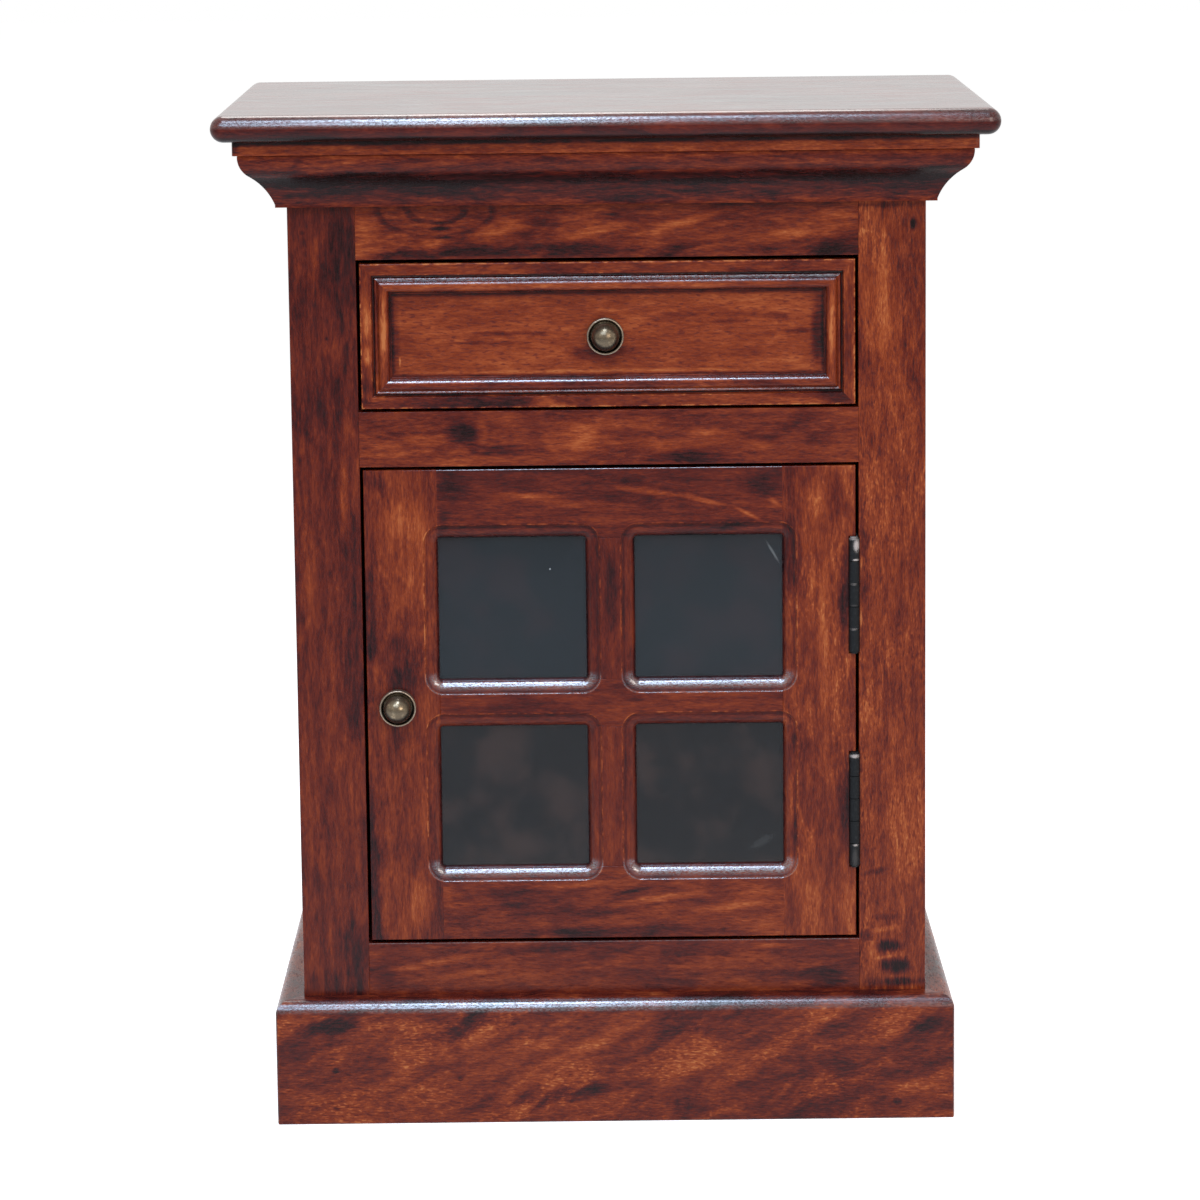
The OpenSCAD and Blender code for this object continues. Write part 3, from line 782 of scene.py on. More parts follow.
        figure = (cloud - 0.5) * (CLOUD_LIFT * self.clouds) + (broad - 0.5) * (BROAD_LIFT * self.clouds)
        figure = figure + (streak - 0.5) * (STREAK_LIFT * self.streaks) + ring * (RING_LIFT * self.rings)
        figure = figure + (fibre - 0.5) * FIBRE_LIFT
        tone = figure * self.spread + self.tone - dash * (PORE_DEPTH * self.dashes)
        if self.flecks:
            fleck = shader.noise(grain, FLECK).rise(*FLECK_EDGE)
            tone = tone + fleck * cloud.rise(*FLECK_IN_LIGHT) * (FLECK_LIFT * self.flecks)
        if self.slope:
            tone = tone + parts[self.grain.value[0]] * (self.slope * MM)
        for spot in self.spots:
            ragged = fray if max(spot.wide, spot.high) < SMALL_SPOT else cloud
            tone = tone + self._spot_tone(shader, place, ragged, spot)
        sparkle = shader.noise(place, SPARKLE).rise(*SPARKLE_EDGE) * SPARKLE_PART + (1.0 - SPARKLE_PART)
        if self.polish_at[1] > 0.0:
            sparkle = sparkle * (parts["X"].near(*self.polish_at) * POLISH_PEAK + POLISH_ELSEWHERE)
        if self.even_from > 0.0:
            even = parts["Z"].rise(self.even_from, self.even_from + 1.0)
            sparkle = (EVEN_POLISH - sparkle) * even + sparkle
        gloss: Signal | float = 0.0
        if self.polish[1] > 0.0:
            gloss = parts["Z"].rise(*self.polish) * sparkle * POLISH
        if self.polish_end > 0.0:
            gloss = gloss * parts["Z"].rise(self.polish_end, self.polish_end - POLISH_FADE) * POLISH_BAND
        if self.frame:
            outside, below = self._frame_distance(shader, place)
            for line in self.frame.contours:
                near = outside.near(line.at, line.reach)
                gone = RUBBED_MORE * line.broken
                kept = fray.rise(RUBBED_EDGE[0] - gone, RUBBED_EDGE[1] - gone) if line.lift > 0 else 1.0
                tone = tone + near * line.lift * kept
                if line.gloss:
                    gloss = near * below * sparkle * line.gloss + gloss
        peel = shader.noise(place, PEEL)
        pores = dash * (PORE_SINK * min(self.dashes, PORE_LIMIT))
        height = (fibre - 0.5) * FIBRE_HEIGHT - pores * PORE_HEIGHT + (peel - 0.5) * PEEL_HEIGHT
        rough = pores * PORE_ROUGH + (cloud - 0.5) * CLOUD_ROUGH + self.stain.rough
        return shader.surface(
            Base_Color=shader.ramp(tone, self.stain.steps()),
            Roughness=rough,
            Specular_IOR_Level=self.stain.shine,
            Coat_Weight=gloss,
            Coat_Roughness=POLISH_ROUGH,
            Coat_IOR=POLISH_INDEX,
            # The coat's tint is a painted highlight colour on the polished bands
            Coat_Tint=rgba(self.highlight_tint),
            Normal=shader.bump(height, self.relief),
        )


# Patina: how much finer its grit is, the grit's part in it, and where it starts and ends with its cover
FINER = 6.0
FINE_PART = 0.35
FINE_ROUGH = 0.2
PATINA_START = (0.75, 0.5)
PATINA_END = (0.35, 0.3)
RUBBED_FADE = (1.1, 0.5)

# A knob's cup: its wall, its rim and the painted shade round the ball, in millimetres from the axis
CUP_WALL = (10.9, 10.2)
CUP_RIM = (10.5, 11.3)
SHADE_EDGE = (5.6, 7.8)
SHADE_UP = 1.7
SHADE_TOP = 4.0
SHADE_FOOT = 5.0
SHADE_LOWER = 0.60
SHADE_ROUND = 0.15
RIM_RUBBED = 0.40
KNOB_PAINTED_SHADE = (0.018, 0.018, 0.016)


@dataclass(frozen=True)
class Metal:
    """A metal finish with patina that gathers and rubs off.

    Attributes:
        name: The material's name.
        bright: Its colour where it is rubbed.
        dull: Its colour under patina.
        metallic: How metallic it is.
        rough: Its roughness where it is rubbed.
        dulled: How much rougher the patina is.
        grit: The height of its surface texture, in millimetres.
        scale: How many patches of patina it has for each millimetre.
        cover: How much patina it has, from 0 to 1.
        shine: The strength of the reflection of its non-metallic part.
        spots: Rubbed places on it.
        rubbed: Their colour.
        hollow: The axis, as (x, z) in millimetres, of a cup with painted shade round its ball, darker on the
            lower half.
    """

    name: str
    bright: Colour
    dull: Colour
    metallic: float = 1.0
    rough: float = 0.3
    dulled: float = 0.25
    grit: float = 0.01
    scale: float = 0.35
    cover: float = 0.5
    shine: float = 0.5
    spots: tuple[Spot, ...] = ()
    rubbed: Colour = (0.62, 0.60, 0.58)
    hollow: Flat | None = None

    def _from_axis(self, shader: Shader, place: Signal, lift: float) -> Signal:
        """Measures how far a place lies from the hollow's axis.

        Args:
            shader: The material's tree.
            place: The place in millimetres.
            lift: How far above the axis the measure starts.

        Returns:
            The distance in millimetres.
        """
        x, _, z = shader.split(place)
        return shader.vector("LENGTH", shader.join(x - self.hollow[0], 0.0, z - self.hollow[1] - lift))

    def material(self) -> bpy.types.Material:
        """Builds the metal's material.

        Returns:
            The material.
        """
        shader = Shader(self.name)
        place = shader.place()
        patch = shader.noise(place, Pattern((self.scale,) * 3, detail=4.0, rough=0.6))
        fine = shader.noise(place, Pattern((self.scale * FINER,) * 3))
        patina = (patch + (fine - 0.5) * FINE_PART).rise(
            PATINA_START[0] - PATINA_START[1] * self.cover, PATINA_END[0] - PATINA_END[1] * self.cover
        )
        colour = shader.blend(patina, self.dull, self.bright)
        for spot in self.spots:
            distance = shader.from_spot(place, spot) + (fine - 0.5) * spot.ragged
            colour = shader.blend(distance.rise(*RUBBED_FADE) * spot.lift, colour, self.rubbed)
        # Painted shade: a dark ring round the ball inside the cup, stronger on its lower half, stands in for
        # shade and dark reflections there
        if self.hollow:
            inside = self._from_axis(shader, place, 0.0).rise(*CUP_WALL)
            ring = self._from_axis(shader, place, SHADE_UP).rise(*SHADE_EDGE) * inside
            lower = shader.split(place)[2].rise(self.hollow[1] + SHADE_TOP, self.hollow[1] - SHADE_FOOT)
            colour = shader.blend(ring * (lower * SHADE_LOWER + SHADE_ROUND), colour, KNOB_PAINTED_SHADE)
            rim = self._from_axis(shader, place, 0.0).rise(*CUP_RIM)
            colour = shader.blend(rim * RIM_RUBBED, colour, self.rubbed)
        rough = patina * -self.dulled + (self.rough + self.dulled) + (fine - 0.5) * FINE_ROUGH
        height = (fine - 0.5) * self.grit + (patch - 0.5) * self.grit
        return shader.surface(
            Base_Color=colour,
            Metallic=self.metallic,
            Roughness=rough,
            Specular_IOR_Level=self.shine,
            Normal=shader.bump(height),
        )


def steel_finish(name: str, rough: float = 0.3) -> bpy.types.Material:
    """Gives the bright steel of a small fixing."""
    return Metal(name, bright=(0.55, 0.54, 0.52), dull=(0.30, 0.28, 0.26), rough=rough).material()


# Glass: its patterns, its haze and the fading outline of a smear
GLASS_CLOUD = Pattern((0.03, 0.03, 0.03), detail=3.0)
GLASS_WAVE = Pattern((0.012, 0.012, 0.02), detail=1.0)
GLASS_DUST = Pattern((1.6, 1.6, 1.6), detail=1.0)
HAZE_EDGE = (0.44, 0.70)
HAZE_ROUGH = 0.06
GLASS_SHINE = 0.3
WAVE_HEIGHT = 0.4
SMEAR_FADE = (1.1, 0.4)
SMEAR_GREY = (0.30, 0.30, 0.29)


@dataclass(frozen=True)
class PaneGlass:
    """Glass drawn as a nearly opaque dark bluish sheet, whose colour paints in the shade inside the cupboard
    and part of what it reflects.

    Attributes:
        name: The material's name.
        tint: Its colour, painted shade of the inside and painted reflection.
        haze: The colour of its faint smears.
        cover: How much of what lies behind it is hidden.
        rough: Its roughness.
        smears: Faint marks on it.
    """

    name: str
    tint: Colour = (0.0135, 0.0168, 0.0190)
    haze: Colour = (0.022, 0.019, 0.021)
    cover: float = 0.96
    rough: float = 0.05
    smears: tuple[Spot, ...] = ()

    def material(self) -> bpy.types.Material:
        """Builds the glass's material.

        Returns:
            The material.
        """
        shader = Shader(self.name)
        place = shader.place()
        wave = shader.noise(place, GLASS_WAVE)
        fine = shader.noise(place, GLASS_DUST)
        mask = shader.noise(place, GLASS_CLOUD).rise(*HAZE_EDGE)
        colour = shader.blend(mask, self.tint, self.haze)
        for smear in self.smears:
            distance = shader.from_spot(place, smear) + (fine - 0.5) * smear.ragged
            colour = shader.blend(distance.rise(*SMEAR_FADE) * smear.lift, colour, SMEAR_GREY)
        return shader.surface(
            Base_Color=colour,
            Roughness=mask * HAZE_ROUGH + self.rough,
            Specular_IOR_Level=GLASS_SHINE,
            Alpha=self.cover,
            Normal=shader.bump((wave - 0.5) * WAVE_HEIGHT),
        )


# Plastic: rubbed-in dust and a fine grit
DUST = Pattern((0.12, 0.12, 0.12), detail=3.0)
DUST_EDGE = (0.4, 0.7)
GRIT = Pattern((4.0, 4.0, 4.0))
GRIT_ROUGH = 0.2
GRIT_HEIGHT = 0.02


@dataclass(frozen=True)
class Moulded:
    """Moulded plastic with a fine even grain.

    Attributes:
        name: The material's name.
        colour: Its colour.
        shade: Its colour where dust has rubbed in.
        rough: Its roughness.
        shine: The strength of its reflection.
    """

    name: str
    colour: Colour = (0.040, 0.020, 0.014)
    shade: Colour = (0.060, 0.036, 0.026)
    rough: float = 0.42
    shine: float = 0.4

    def material(self) -> bpy.types.Material:
        """Builds the plastic's material.

        Returns:
            The material.
        """
        shader = Shader(self.name)
        place = shader.place()
        dust = shader.noise(place, DUST).rise(*DUST_EDGE)
        grit = shader.noise(place, GRIT)
        return shader.surface(
            Base_Color=shader.blend(dust, self.colour, self.shade),
            Roughness=(grit - 0.5) * GRIT_ROUGH + self.rough,
            Specular_IOR_Level=self.shine,
            Normal=shader.bump(grit * GRIT_HEIGHT),
        )


# ---- Bench work ----


def arc(centre: Sequence[float], radius: float, start: float, end: float, steps: int) -> list[Flat]:
    """Gives points on an arc.

    Args:
        centre: Its centre.
        radius: Its radius.
        start: The angle of its first point, in radians from the first axis towards the second.
        end: The angle of its last point.
        steps: How many steps it has.

    Returns:
        The points in order.
    """
    angles = [start + (end - start) * step / steps for step in range(steps + 1)]
    return [(centre[0] + radius * math.cos(angle), centre[1] + radius * math.sin(angle)) for angle in angles]


@dataclass(frozen=True)
class Plane:
    """A plane across one axis, for finding edges by their place.

    Attributes:
        axis: 0, 1 or 2 for the axis it lies across.
        place: Where it lies on that axis.
    """

    axis: int
    place: float

    def holds(self, point: Vector) -> bool:
        """Tells whether a point lies on the plane."""
        return abs(point[self.axis] - self.place) < HAIR


def edge_on(*planes: Plane) -> EdgeTest:
    """Makes a test for edges that lie on every one of these planes."""
    return lambda a, b: all(plane.holds(a) and plane.holds(b) for plane in planes)


def any_edge(*tests: EdgeTest) -> EdgeTest:
    """Makes a test for edges that pass at least one of these tests."""
    return lambda a, b: any(test(a, b) for test in tests)


def box_edge(low: Vector, high: Vector) -> EdgeTest:
    """Makes a test for the edges of a box.

    Args:
        low: The box's lowest corner.
        high: The box's highest corner.

    Returns:
        A test that passes an edge that lies on two sides of the box at once.
    """
    sides = [Plane(axis, corner[axis]) for axis in range(3) for corner in (low, high)]

    def test(a: Vector, b: Vector) -> bool:
        """Counts the box's sides that hold the whole edge."""
        return sum(side.holds(a) and side.holds(b) for side in sides) >= 2

    return test


class Piece:
    """One piece on the bench, and what is done to it by hand."""

    def __init__(self, name: str, thing: bpy.types.Object) -> None:
        """Takes an object and names it and its mesh.

        Args:
            name: Its name.
            thing: The object.
        """
        self.thing = thing
        thing.name = name
        thing.data.name = name

    @staticmethod
    def clear_bench() -> None:
        """Deselects everything."""
        for thing in bpy.context.view_layer.objects:
            thing.select_set(False)

    @classmethod
    def block(cls, name: str, low: Point, high: Point) -> Piece:
        """Adds a cube primitive at its size and place.

        Args:
            name: The piece's name.
            low: Its lowest corner.
            high: Its highest corner.

        Returns:
            The piece.
        """
        cls.clear_bench()
        a, b = Vector(low), Vector(high)
        bpy.ops.mesh.primitive_cube_add(size=1.0, location=(a + b) / 2, scale=b - a)
        bpy.ops.object.transform_apply(location=True, rotation=True, scale=True)
        return cls(name, bpy.context.object)

    @classmethod
    def outline(cls, name: str, points: Sequence[Vector], closed: bool = True) -> Piece:
        """Draws an outline by extruding one point from place to place.

        Args:
            name: The piece's name.
            points: The outline's corners in order.
            closed: Whether the outline is filled with a face.

        Returns:
            The piece.
        """
        cls.clear_bench()
        bpy.ops.mesh.primitive_plane_add(size=1.0, location=points[0])
        bpy.ops.object.transform_apply(location=True, rotation=True, scale=True)
        piece = cls(name, bpy.context.object)
        with piece.editing("VERT"):
            bpy.ops.mesh.select_all(action="SELECT")
            bpy.ops.mesh.merge(type="CENTER")
            for last, point in zip(points, points[1:]):
                bpy.ops.mesh.extrude_region_move(TRANSFORM_OT_translate={"value": point - last})
            if closed:
                bpy.ops.mesh.select_all(action="SELECT")
                bpy.ops.mesh.edge_face_add()
        return piece

    @classmethod
    def copy_of(cls, name: str, node: bpy.types.Object) -> Piece:
        """Copies a CAD node's mesh, merges it and clears the flat faces of their triangles.

        Args:
            name: The piece's name.
            node: The CAD node.

        Returns:
            The piece.
        """
        cls.clear_bench()
        thing = bpy.data.objects.new(name, node.data.copy())
        bpy.context.scene.collection.objects.link(thing)
        piece = cls(name, thing)
        thing.data.materials.clear()
        piece.hold()
        if thing.data.has_custom_normals:
            bpy.ops.mesh.customdata_custom_splitnormals_clear()
        with piece.editing("VERT"):
            bpy.ops.mesh.select_all(action="SELECT")
            bpy.ops.mesh.remove_doubles(threshold=HAIR / 4)
            bpy.ops.mesh.dissolve_limited(angle_limit=math.radians(0.4))
        return piece

    def hold(self) -> None:
        """Makes this the one selected and active object."""
        self.clear_bench()
        bpy.context.view_layer.objects.active = self.thing
        self.thing.select_set(True)

    @contextmanager
    def editing(self, kind: str) -> Iterator[None]:
        """Works in edit mode.

        Args:
            kind: What is selected there: VERT, EDGE or FACE.
        """
        self.hold()
        bpy.ops.object.mode_set(mode="EDIT")
        bpy.ops.mesh.select_mode(type=kind)
        yield
        bpy.ops.object.mode_set(mode="OBJECT")

    def _pick_edges(self, test: EdgeTest) -> int:
        """Selects the edges that pass a test, in edit mode, and counts them.

        Args:
            test: The test.

        Returns:
            How many pass.
        """
        mesh = bmesh.from_edit_mesh(self.thing.data)
        for part in (*mesh.faces, *mesh.edges, *mesh.verts):
            part.select_set(False)
        found = 0
        for edge in mesh.edges:
            if test(edge.verts[0].co, edge.verts[1].co):
                edge.select_set(True)
                found += 1
        bmesh.update_edit_mesh(self.thing.data)
        return found

    def bevel(self, test: EdgeTest, width: float, segments: int = 2) -> Piece:
        """Rounds the edges that pass a test.

        Args:
            test: The test.
            width: How far the rounding reaches from each edge.
            segments: How many steps it has.

        Returns:
            This piece.
        """
        with self.editing("EDGE"):
            if self._pick_edges(test):
                bpy.ops.mesh.bevel(
                    offset=width, offset_type="OFFSET", segments=segments, profile=0.5,
                    affect="EDGES", clamp_overlap=True,
                )
            else:
                LOG.warning("%s has no edge to round", self.thing.name)
        return self

    def extrude(self, move: Vector) -> Piece:
        """Draws the whole face out into a solid and turns its faces outwards.

        Args:
            move: How far and which way.

        Returns:
            This piece.
        """
        with self.editing("FACE"):
            bpy.ops.mesh.select_all(action="SELECT")
            bpy.ops.mesh.extrude_region_move(TRANSFORM_OT_translate={"value": move})
            bpy.ops.mesh.select_all(action="SELECT")
            bpy.ops.mesh.normals_make_consistent(inside=False)
        return self

    def cut(self, point: Vector, normal: Vector) -> Piece:
        """Saws the piece along a plane and keeps the side that the normal points to.

        Args:
            point: A point on the plane.
            normal: The plane's direction.

        Returns:
            This piece.
        """
        with self.editing("FACE"):
            bpy.ops.mesh.select_all(action="SELECT")
            bpy.ops.mesh.bisect(
                plane_co=point, plane_no=normal, use_fill=True, clear_inner=True, threshold=HAIR / 10
            )
            bpy.ops.mesh.select_all(action="SELECT")
            bpy.ops.mesh.normals_make_consistent(inside=False)
        return self

    def spin(self, centre: Vector, axis: Vector, steps: int) -> Piece:
        """Turns an outline round an axis into a closed round piece.

        Args:
            centre: A point on the axis.
            axis: The axis.
            steps: How many steps the turn has.

        Returns:
            This piece.
        """
        with self.editing("VERT"):
            bpy.ops.mesh.select_all(action="SELECT")
            bpy.ops.mesh.spin(steps=steps, angle=2.0 * math.pi, center=centre, axis=axis)
            bpy.ops.mesh.select_all(action="SELECT")
            bpy.ops.mesh.remove_doubles(threshold=HAIR / 4)
            bpy.ops.mesh.normals_make_consistent(inside=False)
        return self

    def boolean(self, tool: Piece, operation: str) -> Piece:
        """Cuts this piece with another one, which is used up.

        Args:
            tool: The cutter.
            operation: DIFFERENCE or INTERSECT.

        Returns:
            This piece.
        """
        cutter = self.thing.modifiers.new("cutter", "BOOLEAN")
        cutter.operation = operation
        cutter.object = tool.thing
        cutter.solver = "EXACT"
        self.hold()
        bpy.ops.object.modifier_apply(modifier=cutter.name)
        bpy.data.objects.remove(tool.thing)
        return self

    def smooth(self, angle: float = 32.0) -> Piece:
        """Shades the piece smooth, except at edges sharper than an angle in degrees.

        Args:
            angle: That angle.

        Returns:
            This piece.
        """
        self.hold()
        bpy.ops.object.shade_smooth_by_angle(angle=math.radians(angle))
        flatten = self.thing.modifiers.new("flat_faces", "WEIGHTED_NORMAL")
        flatten.mode = "FACE_AREA"
        flatten.weight = 100
        flatten.keep_sharp = True
        bpy.ops.object.modifier_apply(modifier=flatten.name)
        return self

    def dress(self, finish: bpy.types.Material, body: str, slot: str, *nodes: str) -> Piece:
        """Gives the piece its material and its place in the model.

        Args:
            finish: The material.
            body: The body it moves with.
            slot: The material slot of the record; not used.
            nodes: The CAD nodes it stands for.

        Returns:
            This piece.
        """
        self.thing.data.materials.clear()
        self.thing.data.materials.append(finish)
        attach(self.thing, body)
        if nodes:
            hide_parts(*nodes)
        LOG.info("%s: %d faces on %s", self.thing.name, len(self.thing.data.polygons), body)
        return self


@dataclass
class Model:
    """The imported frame, with helpers for its nodes.

    Attributes:
    """

    frame: dict

    def node(self, name: str) -> bpy.types.Object:
        """Gives a CAD node."""
        return self.frame["nodes"][name]

    def box(self, name: str) -> tuple[Vector, Vector]:
        """Gives a CAD node's lowest and highest corners."""
        low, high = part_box(name)
        return Vector(low), Vector(high)

    def repaint(self, name: str, finish: bpy.types.Material) -> None:
        """Gives a CAD node that stays a new material.

        Args:
            name: The node.
            finish: The material.
        """
        for spot in self.node(name).material_slots:
            spot.material = finish
        LOG.info("%s: packed shape, new finish", name)

    def eased(
        self, name: str, finish: bpy.types.Material, body: str, slot: str,
        ease: float = 0.0005, test: EdgeTest | None = None,
    ) -> Piece:
        """Copies a CAD board, eases its long edges and dresses it.

        Args:
            name: The CAD node, whose name the copy's name starts with.
            finish: Its material.
            body: The body it moves with.
            slot: The material slot of the record.
            ease: The size of the rounding.
            test: Which edges are eased. Left out, those of the node's box are.

        Returns:
            The piece.
        """
        piece = Piece.copy_of(name + "_wood", self.node(name))
        piece.bevel(test or box_edge(*self.box(name)), ease)
        return piece.smooth().dress(finish, body, slot, name)


# ---- Sub-assemblies ----


# Marks on the top board, on the strip under it and on the moulding, among them painted shade and painted
# light
# Painted shade along the nosing's lower edge
TOP_MARKS = (Spot(0, 649, 900, 2.6, -0.3, ragged=0.6),)
STRIP_MARKS_AND_SHADOW = (
    Spot(-236, 643, 5, 8, -0.3),
    # Painted shadow of the nosing along the top of the strip
    Spot(0, 647, 900, 2.3, -0.55, ragged=0.5),
)
CORNICE_MARKS_LIGHT_AND_SHADE = (
    # Painted shade down the moulding's hollow
    Spot(0, 622.5, 900, 6.5, -0.24, ragged=1),
    Spot(0, 615, 900, 10, -0.18, ragged=1),
    # Painted light along the moulding's top edge, under the strip
    Spot(0, 637.5, 900, 2, 0.14, ragged=0.6),
    Spot(-150, 632, 60, 4, 0.1),
    Spot(150, 631, 60, 4, 0.14),
    Spot(-30, 629, 60, 3, 0.08),
    Spot(-187, 621, 22, 4, -0.25),
)


@dataclass
class TopAndCornice:
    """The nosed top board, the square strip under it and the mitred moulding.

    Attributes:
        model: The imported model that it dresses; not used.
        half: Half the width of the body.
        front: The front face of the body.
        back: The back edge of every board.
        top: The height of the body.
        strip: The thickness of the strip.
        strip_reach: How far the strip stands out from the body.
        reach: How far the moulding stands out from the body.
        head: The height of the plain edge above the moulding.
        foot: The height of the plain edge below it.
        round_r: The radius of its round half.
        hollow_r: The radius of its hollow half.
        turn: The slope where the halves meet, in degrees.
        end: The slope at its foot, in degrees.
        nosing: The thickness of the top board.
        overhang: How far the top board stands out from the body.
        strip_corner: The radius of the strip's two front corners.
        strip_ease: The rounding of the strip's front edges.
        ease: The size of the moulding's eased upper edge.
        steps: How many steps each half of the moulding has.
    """

    model: Model
    half: float = 0.205
    front: float = -0.130
    back: float = 0.175
    top: float = 0.639
    strip: float = 0.009
    strip_reach: float = 0.032
    reach: float = 0.029
    head: float = 0.001
    foot: float = 0.0017
    round_r: float = 0.0155
    hollow_r: float = 0.040
    turn: float = 34.0
    end: float = 70.0
    nosing: float = 0.017
    overhang: float = 0.045
    strip_corner: float = 0.0024
    strip_ease: float = 0.0005
    ease: float = 0.0006
    steps: int = 14

    def ogee(self) -> list[Flat]:
        """Works out the moulding's outline.

        Returns:
            Points as (distance out from the body, height), from its top to its foot.
        """
        start = Vector((self.reach - self.round_r, self.top - self.head))
        turn, end = math.radians(self.turn), math.radians(self.end)
        meet = start + self.round_r * Vector((math.sin(turn), -math.cos(turn)))
        hollow = meet + self.hollow_r * Vector((math.sin(turn), -math.cos(turn)))
        points = [(0.0, self.top), (self.reach - self.ease, self.top), (self.reach, self.top - self.ease)]
        points += arc(start, self.round_r, 0.0, turn - math.pi / 2, self.steps)
        points += arc(hollow, self.hollow_r, turn + math.pi / 2, end + math.pi / 2, self.steps)[1:]
        out, low = points[-1]
        points.extend([(out, low - self.foot), (0.0, low - self.foot)])
        return points

    def build(self) -> None:
        """Builds and dresses the five pieces."""
        self._top_board()
        self._strip_board()
        run = MitredRun(self.half, self.front, self.back, self.reach, self.ogee())
        for name, piece, timber in (
            ("cornice_front", run.across("cornice_front_moulding"), Grain.RAIL),
            ("cornice_left", run.beside("cornice_left_moulding", -1), Grain.SIDE_RAIL),
            ("cornice_right", run.beside("cornice_right_moulding", 1), Grain.SIDE_RAIL),
        ):
            wood = Timber(
                name, timber, seed=3.1 + len(name), tone=0.41, spread=0.17, clouds=0.45, streaks=1.0,
                rings=0.2, dashes=0.4, stain=replace(LACQUERED, shine=0.14), spots=CORNICE_MARKS_LIGHT_AND_SHADE,
            )
            piece.smooth().dress(wood.material(), "carcass", "chestnut_wood", name)

    def _top_board(self) -> None:
        """Rounds the front and both sides of the top board, and eases its back."""
        low = Vector((-self.half - self.overhang, self.front - self.overhang, self.top + self.strip))
        high = Vector((self.half + self.overhang, self.back, self.top + self.strip + self.nosing))
        board = Piece.block("top_board_nosed", low, high)
        behind = Plane(1, self.back)
        board.bevel(
            lambda a, b: box_edge(low, high)(a, b) and not (behind.holds(a) and behind.holds(b)),
            self.nosing / 2 - HAIR, segments=12,
        )
        wood = Timber(
            "top_board", Grain.FLAT, seed=1.7, tone=0.26, spread=0.11, clouds=0.7, rings=0.3, ring_gap=11.0,
            ring_depth=70.0, ring_off=-20.0, ring_tilt=0.05, polish=(656.0, 658.5), relief=0.4,
            highlight_tint=(1.0, 0.99, 0.97), even_from=663.6, dashes=0.12, polish_at=(-85.0, 150.0),
            spots=TOP_MARKS,
        )
        board.smooth().dress(wood.material(), "carcass", "chestnut_wood", "top_board")

    def _strip_board(self) -> None:
        """Builds the board under the top, with a rounded corner at both ends of its front."""
        low = Vector((-self.half - self.strip_reach, self.front - self.strip_reach, self.top))
        high = Vector((self.half + self.strip_reach, self.back, self.top + self.strip))
        board = Piece.block("sub_top_strip", low, high)
        sides = [Plane(0, low.x), Plane(0, high.x)]
        levels = [Plane(2, low.z), Plane(2, high.z)]
        face = Plane(1, low.y)
        board.bevel(any_edge(*(edge_on(side, face) for side in sides)), self.strip_corner, segments=5)
        board.bevel(any_edge(*(edge_on(level, face) for level in levels)), self.strip_ease)
        wood = Timber(
            "sub_top", Grain.FLAT, seed=5.3, tone=0.63, spread=0.15, rings=0.3, spots=STRIP_MARKS_AND_SHADOW,
        )
        board.smooth().dress(wood.material(), "carcass", "chestnut_wood", "sub_top")


@dataclass
class MitredRun:
    """A moulding that runs round the front and both sides, with mitred corners.

    Attributes:
        half: Half the width of the body.
        front: The front face of the body.
        back: The back edge of the side lengths.
        reach: How far it stands out.
        outline: Points as (distance out, height).
    """

    half: float
    front: float
    back: float
    reach: float
    outline: list[Flat]

    def across(self, name: str) -> Piece:
        """Builds the front length and saws both mitres.

        Args:
            name: The piece's name.

        Returns:
            The piece.
        """
        start = -self.half - self.reach
        points = [Vector((start, self.front - out, height)) for out, height in self.outline]
        piece = Piece.outline(name, points).extrude(Vector((-2.0 * start, 0.0, 0.0)))
        for side in (-1, 1):
            piece.cut(Vector((side * self.half, self.front, 0.0)), Vector((-side, -1.0, 0.0)))
        return piece

    def beside(self, name: str, side: int) -> Piece:
        """Builds the length on one side and saws its mitre.

        Args:
            name: The piece's name.
            side: 1 for the right side and -1 for the left.

        Returns:
            The piece.
        """
        points = [Vector((side * (self.half + out), self.back, height)) for out, height in self.outline]
        piece = Piece.outline(name, points)
        piece.extrude(Vector((0.0, self.front - self.reach - self.back, 0.0)))
        return piece.cut(Vector((side * self.half, self.front, 0.0)), Vector((side, 1.0, 0.0)))


# Marks on the front of the plinth
PLINTH_MARKS = (
    Spot(-184, 36.3, 2.6, 2.4, -0.3),
    Spot(-184.5, 10.5, 3.2, 2.4, -0.3),
    Spot(-167.5, 10.3, 2, 1.6, -0.25),
    Spot(-101.8, 30, 2, 1.8, -0.25),
    Spot(185.9, 12.4, 3, 2.6, -0.3),
    Spot(-190, 66, 26, 6, -0.26),
    Spot(-95, 67, 50, 8, -0.28, lean=14),
    Spot(-40, 18, 34, 7, -0.3, lean=12),
    Spot(-75, 38, 60, 5, 0.12, lean=26),
    Spot(-20, 50, 60, 6, 0.14, lean=28),
    Spot(40, 42, 40, 14, 0.08),
    Spot(200, 64, 24, 5, -0.22),
    Spot(120, 52, 60, 6, 0.06, lean=20),
    Spot(-205, 18, 20, 8, 0.12),
    Spot(195, 22, 30, 8, 0.14),
    Spot(0, 80, 900, 6, -0.14, ragged=1),
)


